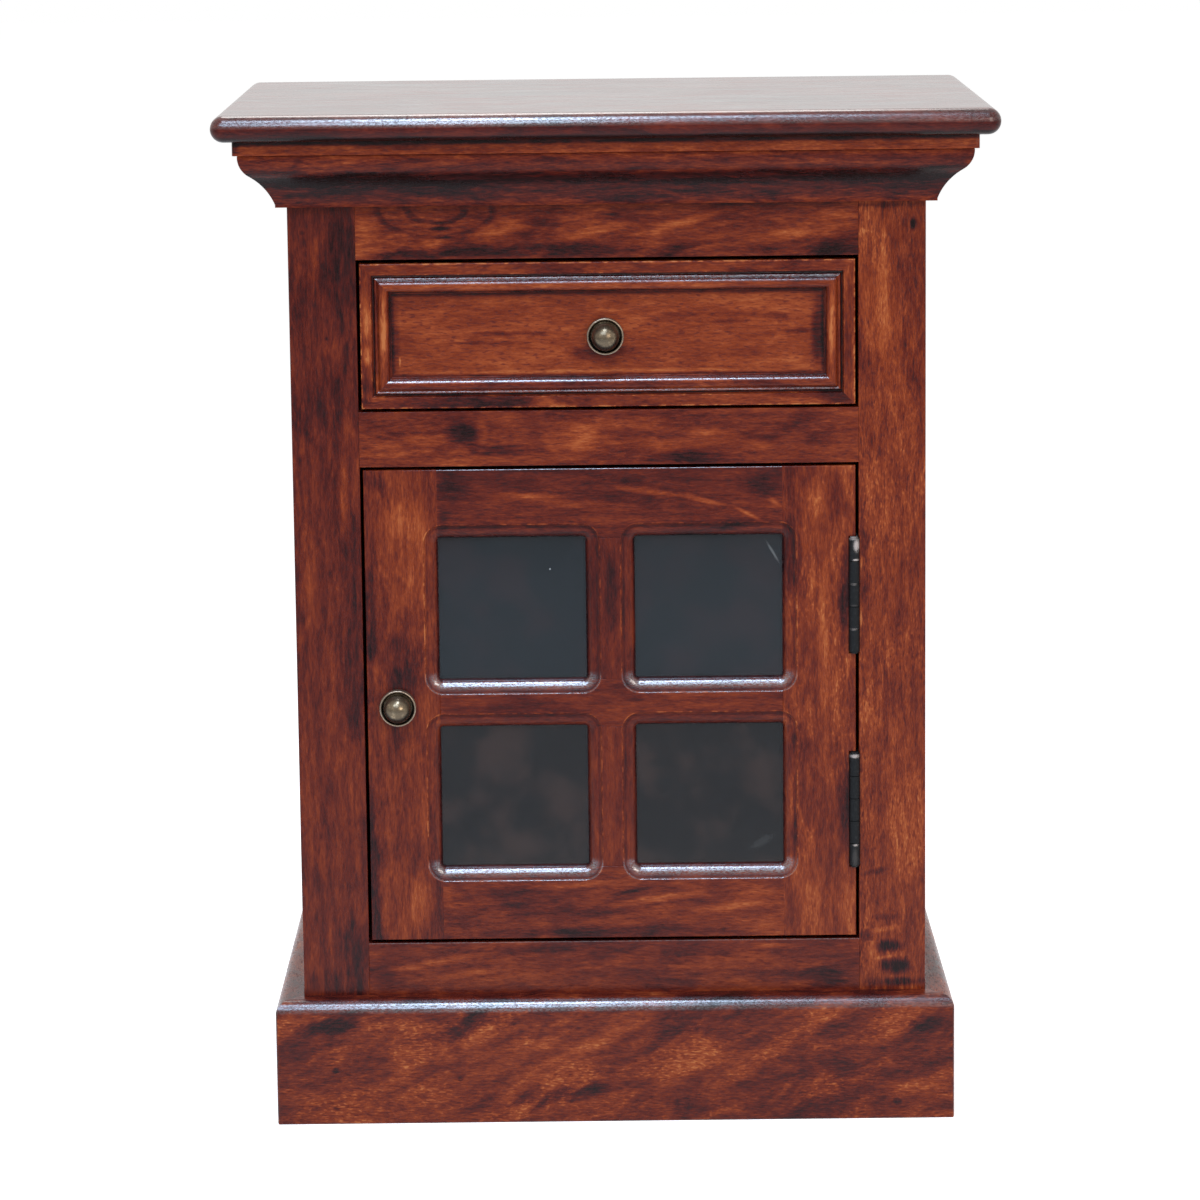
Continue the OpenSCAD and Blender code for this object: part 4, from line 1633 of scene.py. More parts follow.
@dataclass
class Plinth:
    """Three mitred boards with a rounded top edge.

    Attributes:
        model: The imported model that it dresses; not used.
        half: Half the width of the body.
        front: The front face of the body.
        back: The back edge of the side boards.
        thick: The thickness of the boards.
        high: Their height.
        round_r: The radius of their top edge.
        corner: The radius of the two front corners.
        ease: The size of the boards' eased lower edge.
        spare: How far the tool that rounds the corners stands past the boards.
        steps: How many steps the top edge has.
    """

    model: Model
    half: float = 0.205
    front: float = -0.130
    back: float = 0.175
    thick: float = 0.018
    high: float = 0.083
    round_r: float = 0.009
    corner: float = 0.0028
    ease: float = 0.0008
    spare: float = 0.01
    steps: int = 12

    def outline(self) -> list[Flat]:
        """Works out the section of a board.

        Returns:
            Points as (distance out from the body, height).
        """
        centre = (self.thick - self.round_r, self.high - self.round_r)
        points = [(0.0, 0.0), (self.thick - self.ease, 0.0), (self.thick, self.ease)]
        points += arc(centre, self.round_r, 0.0, math.pi / 2, self.steps)
        return [*points, (0.0, self.high)]

    def _rounded(self, piece: Piece) -> Piece:
        """Rounds the front corners of a board.

        Args:
            piece: The board.

        Returns:
            The board.
        """
        reach = self.half + self.thick
        low = Vector((-reach, self.front - self.thick, -self.spare))
        high = Vector((reach, self.back + self.spare, self.high + self.spare))
        tool = Piece.block("corner_tool", low, high)
        front = Plane(1, low.y)
        sides = [Plane(0, low.x), Plane(0, high.x)]
        tool.bevel(any_edge(*(edge_on(side, front) for side in sides)), self.corner, segments=5)
        return piece.boolean(tool, "INTERSECT")

    def build(self) -> None:
        """Builds and dresses the three boards."""
        run = MitredRun(self.half, self.front, self.back, self.thick, self.outline())
        front = Timber(
            "plinth_front", Grain.RAIL, seed=8.2, tone=0.50, spread=0.18, clouds=0.9, streaks=0.5,
            rings=0.0, dashes=0.6, lean=26.0, flecks=1.0, spots=PLINTH_MARKS, polish=(74.2, 76.4),
            polish_end=83.4, polish_at=(-60.0, 190.0), relief=0.6,
        )
        side = replace(
            front, grain=Grain.SIDE_RAIL, spots=(), name="plinth_left", seed=9.4, polish=(0.0, 0.0),
            polish_end=0.0, stain=replace(LACQUERED, shine=0.10),
        )
        other = replace(side, name="plinth_right", seed=6.1)
        for name, piece, wood in (
            ("plinth_front", run.across("plinth_front_board"), front),
            ("plinth_left", run.beside("plinth_left_board", -1), side),
            ("plinth_right", run.beside("plinth_right_board", 1), other),
        ):
            self._rounded(piece).smooth().dress(wood.material(), "carcass", "chestnut_wood", name)


# Marks on the face frame, upright by upright and rail by rail
LEFT_UPRIGHT_MARKS = (
    Spot(-195.5, 587, 2, 2, -0.2),
    Spot(-180.9, 518.4, 2, 2, -0.22),
    Spot(-188, 572, 4, 22, 0.22, lean=-4),
    Spot(-169, 560, 9, 60, -0.12),
    Spot(-176, 512, 4, 18, 0.14, lean=8),
    Spot(-168, 452, 5, 22, 0.18),
    Spot(-190, 468, 12, 18, -0.12),
    Spot(-195, 360, 5, 45, 0.2),
    Spot(-172, 415, 4, 25, 0.22),
    Spot(-166, 320, 6, 90, -0.14),
    Spot(-184, 290, 5, 60, 0.14),
    Spot(-198, 230, 6, 50, 0.12),
    Spot(-178, 190, 5, 60, 0.1),
    Spot(-168, 110, 9, 26, -0.2),
    Spot(-194, 92, 10, 10, -0.14),
)
RIGHT_UPRIGHT_MARKS = (
    Spot(196.7, 589.1, 2.2, 4.6, -0.6, ragged=1),
    Spot(178, 540, 6, 60, 0.16),
    Spot(195, 540, 9, 80, -0.08),
    Spot(165, 380, 5, 90, -0.1),
    Spot(165, 601, 40, 2.2, -0.25),
    Spot(181, 112.5, 10.5, 5.2, -0.62, ragged=0.7),
    Spot(186, 99, 11.5, 6.6, -0.68, ragged=0.7),
    Spot(190, 88.5, 13, 3.4, -0.45, ragged=0.7),
    Spot(172, 88, 9, 4, -0.2, ragged=0.7),
    Spot(166, 119, 5, 6, -0.28),
    Spot(179, 105, 9, 1.5, 0.22, lean=8, ragged=1.3),
    Spot(178, 124, 12, 2.4, 0.22, lean=10, ragged=1.3),
    Spot(180, 132, 13, 2.6, -0.16, ragged=1.3),
    Spot(163.2, 369, 1, 6, 0.45, ragged=1),
    Spot(162.9, 332, 1, 9, 0.55, ragged=1),
    Spot(172, 163, 9, 2.4, -0.25, lean=12),
    Spot(170, 110, 6, 18, 0.16),
    Spot(185, 170, 12, 40, 0.1),
)
TOP_RAIL_MARKS = (
    Spot(-110, 601, 42, 20, -0.22, arches=2.2, ragged=0),
    Spot(-107, 589, 8, 1.4, -0.35),
    Spot(-104, 583, 7, 1.2, -0.25),
    Spot(-70, 588, 18, 6, 0.36, lean=12),
    Spot(-112, 580, 8, 4, 0.26),
    Spot(-155, 588, 9, 8, 0.16),
    Spot(-25, 573, 130, 4, -0.24),
    Spot(-130, 572, 30, 4, -0.16),
    Spot(-10, 586, 26, 4, 0.26, lean=12),
    Spot(45, 590, 28, 4, 0.26, lean=14),
    Spot(78, 584, 24, 3, 0.14, lean=12),
    Spot(115, 583, 30, 5, 0.24, lean=6),
    Spot(145, 592, 22, 9, 0.18),
    Spot(20, 599, 60, 4, -0.16, lean=6),
    Spot(145, 573, 26, 3, -0.26),
)
MIDDLE_RAIL_MARKS = (
    Spot(-118, 452, 15, 4, 0.26),
    Spot(-140, 449, 8, 4, 0.12),
    Spot(-93, 455, 11, 6, -0.32),
    Spot(-68, 445, 28, 5, -0.26),
    Spot(-82, 457, 4, 9, 0.22),
    Spot(-47, 452, 8, 12, -0.16),
    Spot(-18, 453, 18, 11, 0.3),
    Spot(12, 461, 32, 5, 0.2),
    Spot(30, 448, 26, 5, 0.22),
    Spot(66, 453, 22, 7, 0.2),
    Spot(96, 446, 14, 4, 0.16),
    Spot(125, 456, 22, 11, -0.08),
    Spot(60, 439, 45, 3, -0.2),
    Spot(-140, 438, 24, 4, -0.16),
)
BOTTOM_RAIL_MARKS = (
    Spot(-120, 104, 48, 3, 0.24, lean=10),
    Spot(-95, 97, 45, 3, 0.2, lean=8),
    Spot(-60, 92, 50, 6, 0.14),
    Spot(-152, 95, 12, 10, -0.22),
    Spot(-75, 112, 50, 3, -0.16),
    Spot(60, 109, 60, 4, -0.12),
    Spot(102, 114, 14, 2, 0.28),
    Spot(136, 92, 24, 6, -0.34),
    Spot(60, 100, 60, 2.5, 0.12),
)


# The dark left upright and the orange right one, then the rails from the top down
FRAME_UPRIGHTS = (
    Timber(
        "frame_stile_left", Grain.UPRIGHT, seed=2.3, tone=0.52, spread=0.11, clouds=0.7, streaks=1.1,
        rings=0.3, dashes=0.3, slope=-0.36, spots=LEFT_UPRIGHT_MARKS,
    ),
    Timber(
        "frame_stile_right", Grain.UPRIGHT, seed=4.9, tone=0.58, spread=0.15, clouds=0.5, streaks=0.9,
        rings=0.3, dashes=0.8, flecks=0.7, ring_gap=10.0, ring_off=190.0, spots=RIGHT_UPRIGHT_MARKS,
    ),
)
FRAME_RAILS = (
    Timber(
        "frame_rail_top", Grain.RAIL, seed=7.7, tone=0.49, spread=0.15, clouds=0.8, rings=0.2,
        dashes=0.5, lean=8.0, spots=TOP_RAIL_MARKS,
    ),
    Timber(
        "frame_rail_middle", Grain.RAIL, seed=1.3, tone=0.48, spread=0.14, clouds=0.7, rings=0.2,
        dashes=0.5, spots=MIDDLE_RAIL_MARKS,
    ),
    Timber(
        "frame_rail_bottom", Grain.RAIL, seed=6.6, tone=0.48, spread=0.13, clouds=0.7, rings=0.2,
        dashes=0.5, lean=5.0, polish=(117.1, 117.7), spots=BOTTOM_RAIL_MARKS,
    ),
)


@dataclass
class FaceFrame:
    """The uprights and rails of the front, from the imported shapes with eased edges.

    Attributes:
        model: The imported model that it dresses.
        half: Half the width of the body.
        opening: Half the width of the openings.
        front: The front face.
        ease: The rounding of the edges round the openings.
    """

    model: Model
    half: float = 0.205
    opening: float = 0.1615
    front: float = -0.130
    ease: float = 0.0006

    def build(self) -> None:
        """Builds and dresses the five members."""
        face = Plane(1, self.front)
        for side, wood in zip((-1, 1), FRAME_UPRIGHTS, strict=True):
            edges = any_edge(
                edge_on(face, Plane(0, side * self.half)), edge_on(face, Plane(0, side * self.opening))
            )
            self.model.eased(wood.name, wood.material(), "carcass", "chestnut_wood", self.ease, edges)
        for wood in FRAME_RAILS:
            low, high = self.model.box(wood.name)
            edges = any_edge(edge_on(face, Plane(2, low.z)), edge_on(face, Plane(2, high.z)))
            self.model.eased(wood.name, wood.material(), "carcass", "chestnut_wood", self.ease, edges)


@dataclass
class Carcass:
    """The sides, back and inside boards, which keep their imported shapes.

    Attributes:
        model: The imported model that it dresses.
        ease: The rounding of the boards and of the catch.
        ply_ease: The rounding of the plywood back.
    """

    model: Model
    ease: float = 0.0006
    ply_ease: float = 0.0003

    def build(self) -> None:
        """Builds and dresses the boards and repaints the small fixings."""
        for name, seed in (("side_panel_left", 2.9), ("side_panel_right", 5.8)):
            wood = Timber(
                name, Grain.SIDE_UPRIGHT, seed=seed, tone=0.50, spread=0.12, clouds=0.7, rings=0.6,
                ring_gap=13.0, ring_depth=60.0, ring_off=30.0, ring_tilt=0.09,
            )
            self.model.eased(name, wood.material(), "carcass", "chestnut_wood", self.ease)
        back = Timber(
            "plywood_back", Grain.UPRIGHT, seed=3.3, tone=0.55, spread=0.12, clouds=0.5, rings=0.35,
            dashes=0.35, ring_gap=21.0, ring_depth=160.0, ring_off=40.0, ring_tilt=0.2, stain=WASHED,
        )
        self.model.eased("back_panel", back.material(), "carcass", "plywood", self.ply_ease)
        lengthways = ("cabinet_floor", "drawer_divider", "base_rail_back", "top_rail_back")
        for place, name in enumerate(lengthways):
            wood = Timber(name, Grain.RAIL, seed=1.1 + place, tone=0.5, spread=0.14, stain=WASHED)
            self.model.eased(name, wood.material(), "carcass", "inside_wood", self.ease)
        backwards = ("drawer_runner_left", "drawer_runner_right", "drawer_kickers", "drawer_stops")
        for place, name in enumerate(backwards):
            wood = Timber(name, Grain.FLAT_BACK, seed=4.2 + place, tone=0.5, spread=0.14, stain=WASHED)
            self.model.eased(name, wood.material(), "carcass", "inside_wood", self.ease)
        steel = steel_finish("bright_steel", rough=0.32)
        for name in ("carcass_screws", "back_panel_pins"):
            self.model.repaint(name, steel)
        plastic = Moulded("brown_plastic").material()
        self.model.eased("door_catch", plastic, "carcass", "catch_plastic", self.ease)


@dataclass
class Knob:
    """A round knob that stands in a cup.

    Attributes:
        model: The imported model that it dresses.
        name: The name of the CAD nodes without their endings.
        body: The body it moves with.
        at: Where its axis meets the wood.
        cup_r: The radius of the cup.
        cup_h: The height of its rim.
        plate_t: The thickness of its floor.
        rim_r: The radius of the rim's round edge.
        ball_r: The radius of the ball.
        ball_out: How far out the ball's middle stands.
        fillet_r: The radius between the cup's floor and its wall.
        ease: The size of the cup's eased back edge.
        steps: How many steps it has round its axis.
    """

    model: Model
    name: str
    body: str
    at: Point
    cup_r: float = 0.012
    cup_h: float = 0.006
    plate_t: float = 0.0014
    rim_r: float = 0.0008
    ball_r: float = 0.009
    ball_out: float = 0.008
    fillet_r: float = 0.0012
    ease: float = 0.0004
    steps: int = 72

    def _turned(self, name: str, outline: Sequence[Flat]) -> Piece:
        """Spins an outline of (radius, distance out) round the knob's axis.

        Args:
            name: The piece's name.
            outline: The outline.

        Returns:
            The piece.
        """
        base = Vector(self.at)
        points = [base + Vector((0.0, -out, radius)) for radius, out in outline]
        piece = Piece.outline(name, points, closed=False)
        return piece.spin(base, Vector((0.0, 1.0, 0.0)), self.steps)

    def cup_outline(self) -> list[Flat]:
        """Works out the cup's section, from its middle at the back to its middle in front.

        Returns:
            Points as (radius, distance out).
        """
        rim = (self.cup_r - self.rim_r, self.cup_h - self.rim_r)
        inside = self.cup_r - 2.0 * self.rim_r
        points = [(0.0, 0.0), (self.cup_r - self.ease, 0.0), (self.cup_r, self.ease)]
        points += arc(rim, self.rim_r, 0.0, math.pi, 14)
        fillet = (inside - self.fillet_r, self.plate_t + self.fillet_r)
        points += arc(fillet, self.fillet_r, 0.0, -math.pi / 2, 6)
        return [*points, (0.0, self.plate_t)]

    def ball_outline(self) -> list[Flat]:
        """Works out the ball's section, from its flat back to its front.

        Returns:
            Points as (radius, distance out).
        """
        start = -math.asin((self.ball_out - self.plate_t) / self.ball_r)
        points = arc((0.0, self.ball_out), self.ball_r, start, math.pi / 2, 34)[:-1]
        return [(0.0, self.plate_t), *points, (0.0, self.ball_out + self.ball_r)]

    def build(self, finish: bpy.types.Material, steel: bpy.types.Material) -> None:
        """Builds and dresses the cup and the ball, and repaints the bolt.

        Args:
            finish: The brass.
            steel: The bolt's finish.
        """
        cup = self._turned(self.name + "_cup", self.cup_outline())
        cup.smooth(angle=40.0).dress(finish, self.body, "antique_brass", self.name + "_rose")
        ball = self._turned(self.name + "_ball", self.ball_outline())
        ball.smooth(angle=40.0).dress(finish, self.body, "antique_brass", self.name)
        self.model.repaint(self.name + "_bolt", steel)


def brass_finish(at: Point) -> bpy.types.Material:
    """Gives the old brass of a knob, with painted shade round its ball that is darker on the lower half.

    Args:
        at: Where the knob's axis meets the wood.

    Returns:
        The material.
    """
    return Metal(
        "old_brass", bright=(0.30, 0.225, 0.14), dull=(0.13, 0.095, 0.06), metallic=0.8, rough=0.13,
        dulled=0.16, grit=0.006, scale=0.3, cover=0.45, hollow=(at[0] * PER_METRE, at[2] * PER_METRE),
        rubbed=(0.44, 0.33, 0.25),
    ).material()


# Places where the hinges are rubbed bare
HINGE_MARKS = (
    Spot(160, 380.5, 2.2, 4, 0.8, ragged=3),
    Spot(157.8, 385.2, 3.4, 1.2, 0.5, ragged=3),
    Spot(159.4, 371, 2.2, 0.8, 0.7),
    Spot(158.2, 355, 2.4, 0.7, 0.3),
    Spot(158.2, 341, 2.4, 0.7, 0.05),
    Spot(158, 325.2, 2.8, 0.7, 0.35),
    Spot(158.6, 241, 3.4, 1.4, 0.7, ragged=2.2),
    Spot(159, 181.5, 1.8, 0.9, 0.6, ragged=2.2),
    Spot(158.6, 173, 2, 7, 0.07, ragged=2.2),
)


@dataclass
class Hinges:
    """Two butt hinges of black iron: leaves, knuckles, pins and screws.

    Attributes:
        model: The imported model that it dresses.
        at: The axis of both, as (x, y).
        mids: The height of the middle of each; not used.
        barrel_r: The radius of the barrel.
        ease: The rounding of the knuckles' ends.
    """

    model: Model
    at: Flat = (0.1585, -0.131)
    mids: Flat = (0.205, 0.3475)
    barrel_r: float = 0.0034
    ease: float = 0.00025

    def _rim(self, a: Vector, b: Vector) -> bool:
        """Tells whether an edge runs round the end of a knuckle.

        Args:
            a: The edge's first end.
            b: Its other end.

        Returns:
            Whether it does.
        """
        level = abs(a.z - b.z) < HAIR
        reach = [math.hypot(point.x - self.at[0], point.y - self.at[1]) for point in (a, b)]
        return level and all(abs(distance - self.barrel_r) < HAIR for distance in reach)

    def build(self) -> None:
        """Rounds the knuckles' ends and dresses both halves."""
        iron = Metal(
            "black_iron", bright=(0.017, 0.017, 0.018), dull=(0.005, 0.0055, 0.006), metallic=0.1,
            rough=0.34, dulled=0.2, grit=0.03, scale=0.5, cover=0.5, shine=0.20, rubbed=(0.56, 0.47, 0.42),
            spots=HINGE_MARKS,
        ).material()
        for name, body in (("hinge_frame_leaves", "carcass"), ("hinge_door_leaves", "door")):
            self.model.eased(name, iron, body, "black_iron", self.ease, self._rim)
        for name in ("hinge_pins", "hinge_frame_screws", "door_screws"):
            self.model.repaint(name, iron)


# Marks on the door, stile by stile and rail by rail
DOOR_LEFT_MARKS = (
    Spot(-150, 424, 10, 7, -0.16),
    Spot(-136, 400, 13, 16, 0.22),
    Spot(-126, 375, 9, 34, 0.2),
    Spot(-157, 345, 4, 80, -0.2),
    Spot(-140, 310, 18, 18, -0.18),
    Spot(-130, 295, 10, 12, -0.12),
    Spot(-133, 250, 14, 12, 0.06),
    Spot(-146, 215, 9, 30, 0.1),
    Spot(-123, 205, 6, 28, 0.14),
    Spot(-128, 146, 10, 22, 0.3, lean=-10),
    Spot(-157, 160, 4, 50, -0.24),
)
DOOR_RIGHT_MARKS = (
    Spot(132, 410, 13, 12, 0.1),
    Spot(152.5, 348, 4.5, 42, -0.3, ragged=1),
    Spot(152.5, 212, 5, 34, -0.26, ragged=1),
    Spot(117, 375, 6, 34, -0.18),
    Spot(139, 310, 5, 80, 0.18),
    Spot(132, 388, 7, 15, 0.1),
    Spot(152, 340, 6, 60, -0.12),
    Spot(122, 230, 6, 60, -0.08),
    Spot(128, 158, 9, 28, 0.1),
    Spot(153, 145, 5, 24, 0.1),
)
DOOR_TOP_MARKS = (
    Spot(-52, 414, 24, 3.5, 0.3, lean=-4),
    Spot(-15, 408, 36, 3.5, 0.22, lean=-3),
    Spot(25, 417, 22, 2.2, 0.3, lean=-8),
    Spot(60, 411, 22, 2, 0.34, lean=-14),
    Spot(89, 402, 16, 2, 0.34, lean=-28),
    Spot(107, 409, 7, 3, 0.3, lean=-35),
    Spot(100, 421, 18, 11, -0.2, ragged=1.2),
    Spot(-104, 421, 16, 12, -0.12, ragged=1.2),
    Spot(-108, 402, 6, 8, -0.2, ragged=1.2),
    Spot(80, 396, 20, 5, -0.2),
    Spot(-10, 398, 34, 5, 0.12),
)
DOOR_MIDDLE_MARKS = (
    Spot(0, 270, 14, 8, 0.14),
    Spot(62, 283, 34, 2.6, 0.16),
    Spot(70, 275.5, 22, 2.2, 0.18),
    Spot(-60, 278, 34, 6, -0.06),
)
DOOR_BOTTOM_MARKS = (
    Spot(-20, 156, 30, 2.4, 0.22, lean=6),
    Spot(30, 146, 40, 3, 0.26, lean=8),
    Spot(75, 140, 34, 3.5, 0.24, lean=9),
    Spot(96, 150, 14, 5, 0.12),
    Spot(96, 128, 20, 5, 0.16),
    Spot(-62, 148, 26, 10, -0.2, ragged=1.2),
    Spot(-20, 138, 60, 4, -0.18, ragged=1.2),
    Spot(0, 124, 85, 5, -0.26, ragged=1.2),
    Spot(10, 151, 16, 1.6, -0.3, lean=10, ragged=1.2),
    Spot(-100, 138, 16, 14, -0.1),
)


# The stiles, the rails from the top down and the glazing bars
DOOR_WOODS = (
    Timber(
        "door_stile_left", Grain.UPRIGHT, seed=3.7, tone=0.46, spread=0.14, clouds=0.8, rings=0.2,
        dashes=0.4, spots=DOOR_LEFT_MARKS,
    ),
    Timber(
        "door_stile_right", Grain.UPRIGHT, seed=6.2, tone=0.56, spread=0.14, clouds=0.8, rings=0.2,
        dashes=0.45, flecks=0.8, spots=DOOR_RIGHT_MARKS,
    ),
    Timber(
        "door_rail_top", Grain.RAIL, seed=2.1, tone=0.33, spread=0.13, clouds=0.7, rings=0.2,
        dashes=0.4, polish=(431.6, 432.2), spots=DOOR_TOP_MARKS,
    ),
    Timber(
        "door_rail_middle", Grain.RAIL, seed=8.8, tone=0.44, spread=0.12, clouds=0.7, rings=0.2,
        dashes=0.4, spots=DOOR_MIDDLE_MARKS,
    ),
    Timber(
        "door_rail_bottom", Grain.RAIL, seed=5.5, tone=0.51, spread=0.13, clouds=0.7, rings=0.2,
        dashes=0.6, lean=8.0, spots=DOOR_BOTTOM_MARKS,
    ),
    Timber(
        "door_muntin_upper", Grain.UPRIGHT, seed=1.9, tone=0.38, spread=0.10, dashes=0.3,
        spots=(Spot(0, 340, 5, 32, -0.2),),
    ),
    Timber(
        "door_muntin_lower", Grain.UPRIGHT, seed=7.3, tone=0.42, spread=0.10, dashes=0.3,
        spots=(Spot(1, 235, 6, 22, 0.08),),
    ),
)


@dataclass
class Door:
    """The framed door with four panes.

    Attributes:
        model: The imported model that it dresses.
        half: Half its width.
        bottom: Its lower edge.
        top: Its upper edge.
        front: Its front face.
        pane: The sight size of a pane.
        pane_off: How far a pane's middle lies from the door's middle, across and up.
        middle: The height halfway between the panes' middles.
        corner: The radius of a pane's corners.
        moulded: How far outside a pane its moulding ends.
        ease: The rounding of the door's outer edges.
        fine: The rounding of the mouldings' outer edge.
        ground: The width of the panes' ground edges.
    """

    model: Model
    half: float = 0.1595
    bottom: float = 0.120
    top: float = 0.4325
    front: float = -0.130
    pane: Flat = (0.096, 0.0935)
    pane_off: Flat = (0.064, 0.0625)
    middle: float = 0.27755
    corner: float = 0.0025
    moulded: float = 0.009
    ease: float = 0.0008
    fine: float = 0.00022
    ground: float = 0.0003

    def pane_frame(self) -> Frame:
        """Gives the moulded edge round the panes, for the wood's pattern.

        Returns:
            The frame.
        """
        half = (self.pane[0] * PER_METRE / 2, self.pane[1] * PER_METRE / 2)
        return Frame(
            middle=(0.0, self.middle * PER_METRE),
            half=half,
            corner=self.corner * PER_METRE,
            fold=(self.pane_off[0] * PER_METRE, self.pane_off[1] * PER_METRE),
            contours=(
                Contour(at=9.2, reach=0.9, lift=0.44, broken=0.3),
                Contour(at=7.4, reach=1.4, lift=-0.16),
                # Painted shade: a dark line round each pane where the wood meets the glass
                Contour(at=0.3, reach=1.6, lift=-0.25),
                Contour(at=3.6, reach=5.0, lift=0.0, gloss=2.2),
                Contour(at=9.0, reach=0.8, lift=0.0, gloss=1.6),
            ),
        )

    def build(self) -> None:
        """Builds and dresses the door."""
        outer = (Plane(0, -self.half), Plane(0, self.half), Plane(2, self.bottom), Plane(2, self.top))
        face = Plane(1, self.front)
        outline = any_edge(*(edge_on(face, side) for side in outer))
        frame = self.pane_frame()
        for wood in DOOR_WOODS:
            piece = Piece.copy_of(wood.name + "_wood", self.model.node(wood.name))
            if not wood.name.startswith("door_muntin") and wood.name != "door_rail_middle":
                piece.bevel(outline, self.ease, segments=3)
            piece.bevel(self._moulded_edge, self.fine, segments=1)
            piece.smooth().dress(replace(wood, frame=frame).material(), "door", "chestnut_wood", wood.name)
        self._glass()
        beads = Timber("glazing_beads", Grain.RAIL, seed=9.9, tone=0.4, spread=0.1)
        self.model.repaint("glazing_beads", beads.material())
        steel = steel_finish("door_steel")
        self.model.repaint("door_catch_plate", steel)
        knob = Knob(self.model, "door_knob", "door", mm(-139.5, -130.0, 276.25))
        knob.build(brass_finish(knob.at), steel)

    def _moulded_edge(self, a: Vector, b: Vector) -> bool:
        """Tells whether an edge is the contour of the moulding on the front face.

        Args:
            a: The edge's first end.
            b: Its other end.

        Returns:
            Whether it is.
        """
        if max(abs(a.y - self.front), abs(b.y - self.front)) > HAIR:
            return False
        reach = [self._outside_pane(point) for point in (a, b)]
        return all(abs(distance - self.moulded) < 4 * HAIR for distance in reach)

    def _outside_pane(self, point: Vector) -> float:
        """Measures how far a point lies outside the nearest pane's sight edge.

        Args:
            point: The point.

        Returns:
            The distance, which is negative inside the pane.
        """
        x = abs(abs(point.x) - self.pane_off[0]) - self.pane[0] / 2 + self.corner
        z = abs(abs(point.z - self.middle) - self.pane_off[1]) - self.pane[1] / 2 + self.corner
        return math.hypot(max(x, 0.0), max(z, 0.0)) + min(max(x, z), 0.0) - self.corner

    def _glass(self) -> None:
        """Builds the four panes with a ground edge."""
        upper = PaneGlass(
            "pane_glass_upper",
            smears=(
                Spot(-39.2, 365.3, 0.7, 0.7, 0.9, ragged=0.5),
                Spot(106, 375, 0.9, 9, 0.3, lean=30, ragged=0.8),
            ),
        ).material()
        # The lower panes' darker, redder tint and haze are painted shade and reflection as the lower panes
        # show them
        lower = PaneGlass(
            "pane_glass_lower", tint=(0.0110, 0.0092, 0.0086), haze=(0.032, 0.019, 0.0155),
            smears=(Spot(98, 182, 10, 3, 0.06, lean=30),),
        ).material()
        for place, finish in (("upper", upper), ("lower", lower)):
            for side in ("left", "right"):
                node = f"glass_{place}_{side}"
                low, high = self.model.box(node)
                pane = Piece.block(f"pane_{place}_{side}", low, high)
                pane.bevel(box_edge(low, high), self.ground)
                pane.smooth().dress(finish, "door", "pane_glass", node)


# Marks on the drawer's moulding and on its front, among them painted light and shade
MOULDING_MARKS_LIGHT_AND_SHADE = (
    Spot(-155, 530, 4, 16, 0.42),
    Spot(-155, 507, 4, 8, 0.3),
    Spot(-156, 488, 6, 14, -0.3),
    # Painted highlight on the crests of the side beads
    Spot(-144.6, 524, 3, 30, 0.38, ragged=2.4),
    Spot(-144.2, 530, 1.2, 20, 0.16, ragged=2.4),
    Spot(144.6, 522, 3, 30, 0.3, ragged=2.4),
    Spot(144.4, 532, 1.2, 18, 0.12, ragged=2.4),
    # Painted light on the top length's bead
    Spot(0, 551.3, 150, 2.8, 0.24, ragged=1.2),
    Spot(-105, 476, 72, 6, -0.42, ragged=1.6),
    Spot(145, 476, 12, 6, -0.3),
    # Painted shade on the bottom length's bead
    Spot(0, 487, 170, 3.4, -0.16, ragged=1.2),
)
DRAWER_MARKS_LIGHT_AND_SHADE = (
    # Painted shade down the panel's right and left edges
    Spot(136, 520, 5, 30, -0.42, ragged=1),
    Spot(-137, 520, 3, 30, -0.16, ragged=1),
    # Painted light along the panel's bottom edge
    Spot(0, 494.5, 130, 2.4, 0.3, ragged=1),
    Spot(-140.1, 542.6, 0.8, 2.4, 0.5),
    Spot(-134.4, 502.3, 0.8, 3.4, 0.4),
    Spot(-60, 520, 30, 1.6, -0.24),
    Spot(-85, 514, 26, 1.6, -0.2),
    # Painted shadow under the knob
    Spot(-5, 507, 24, 5, -0.26),
    Spot(45, 531, 20, 2, -0.2),
    Spot(112, 530, 14, 3.5, -0.26),
    Spot(122, 520, 10, 2, -0.22),
    Spot(78, 526, 14, 2, -0.18),
    Spot(0, 534.5, 12, 1.2, 0.2),
    Spot(95, 500, 34, 3, 0.16),
    Spot(-70, 540, 40, 3, 0.1),
)
# Where the points on the moulding's rounded edges lie, in radians
SOFT_TURNS = (0.52, 1.05)
CRISP_TURN = 0.78


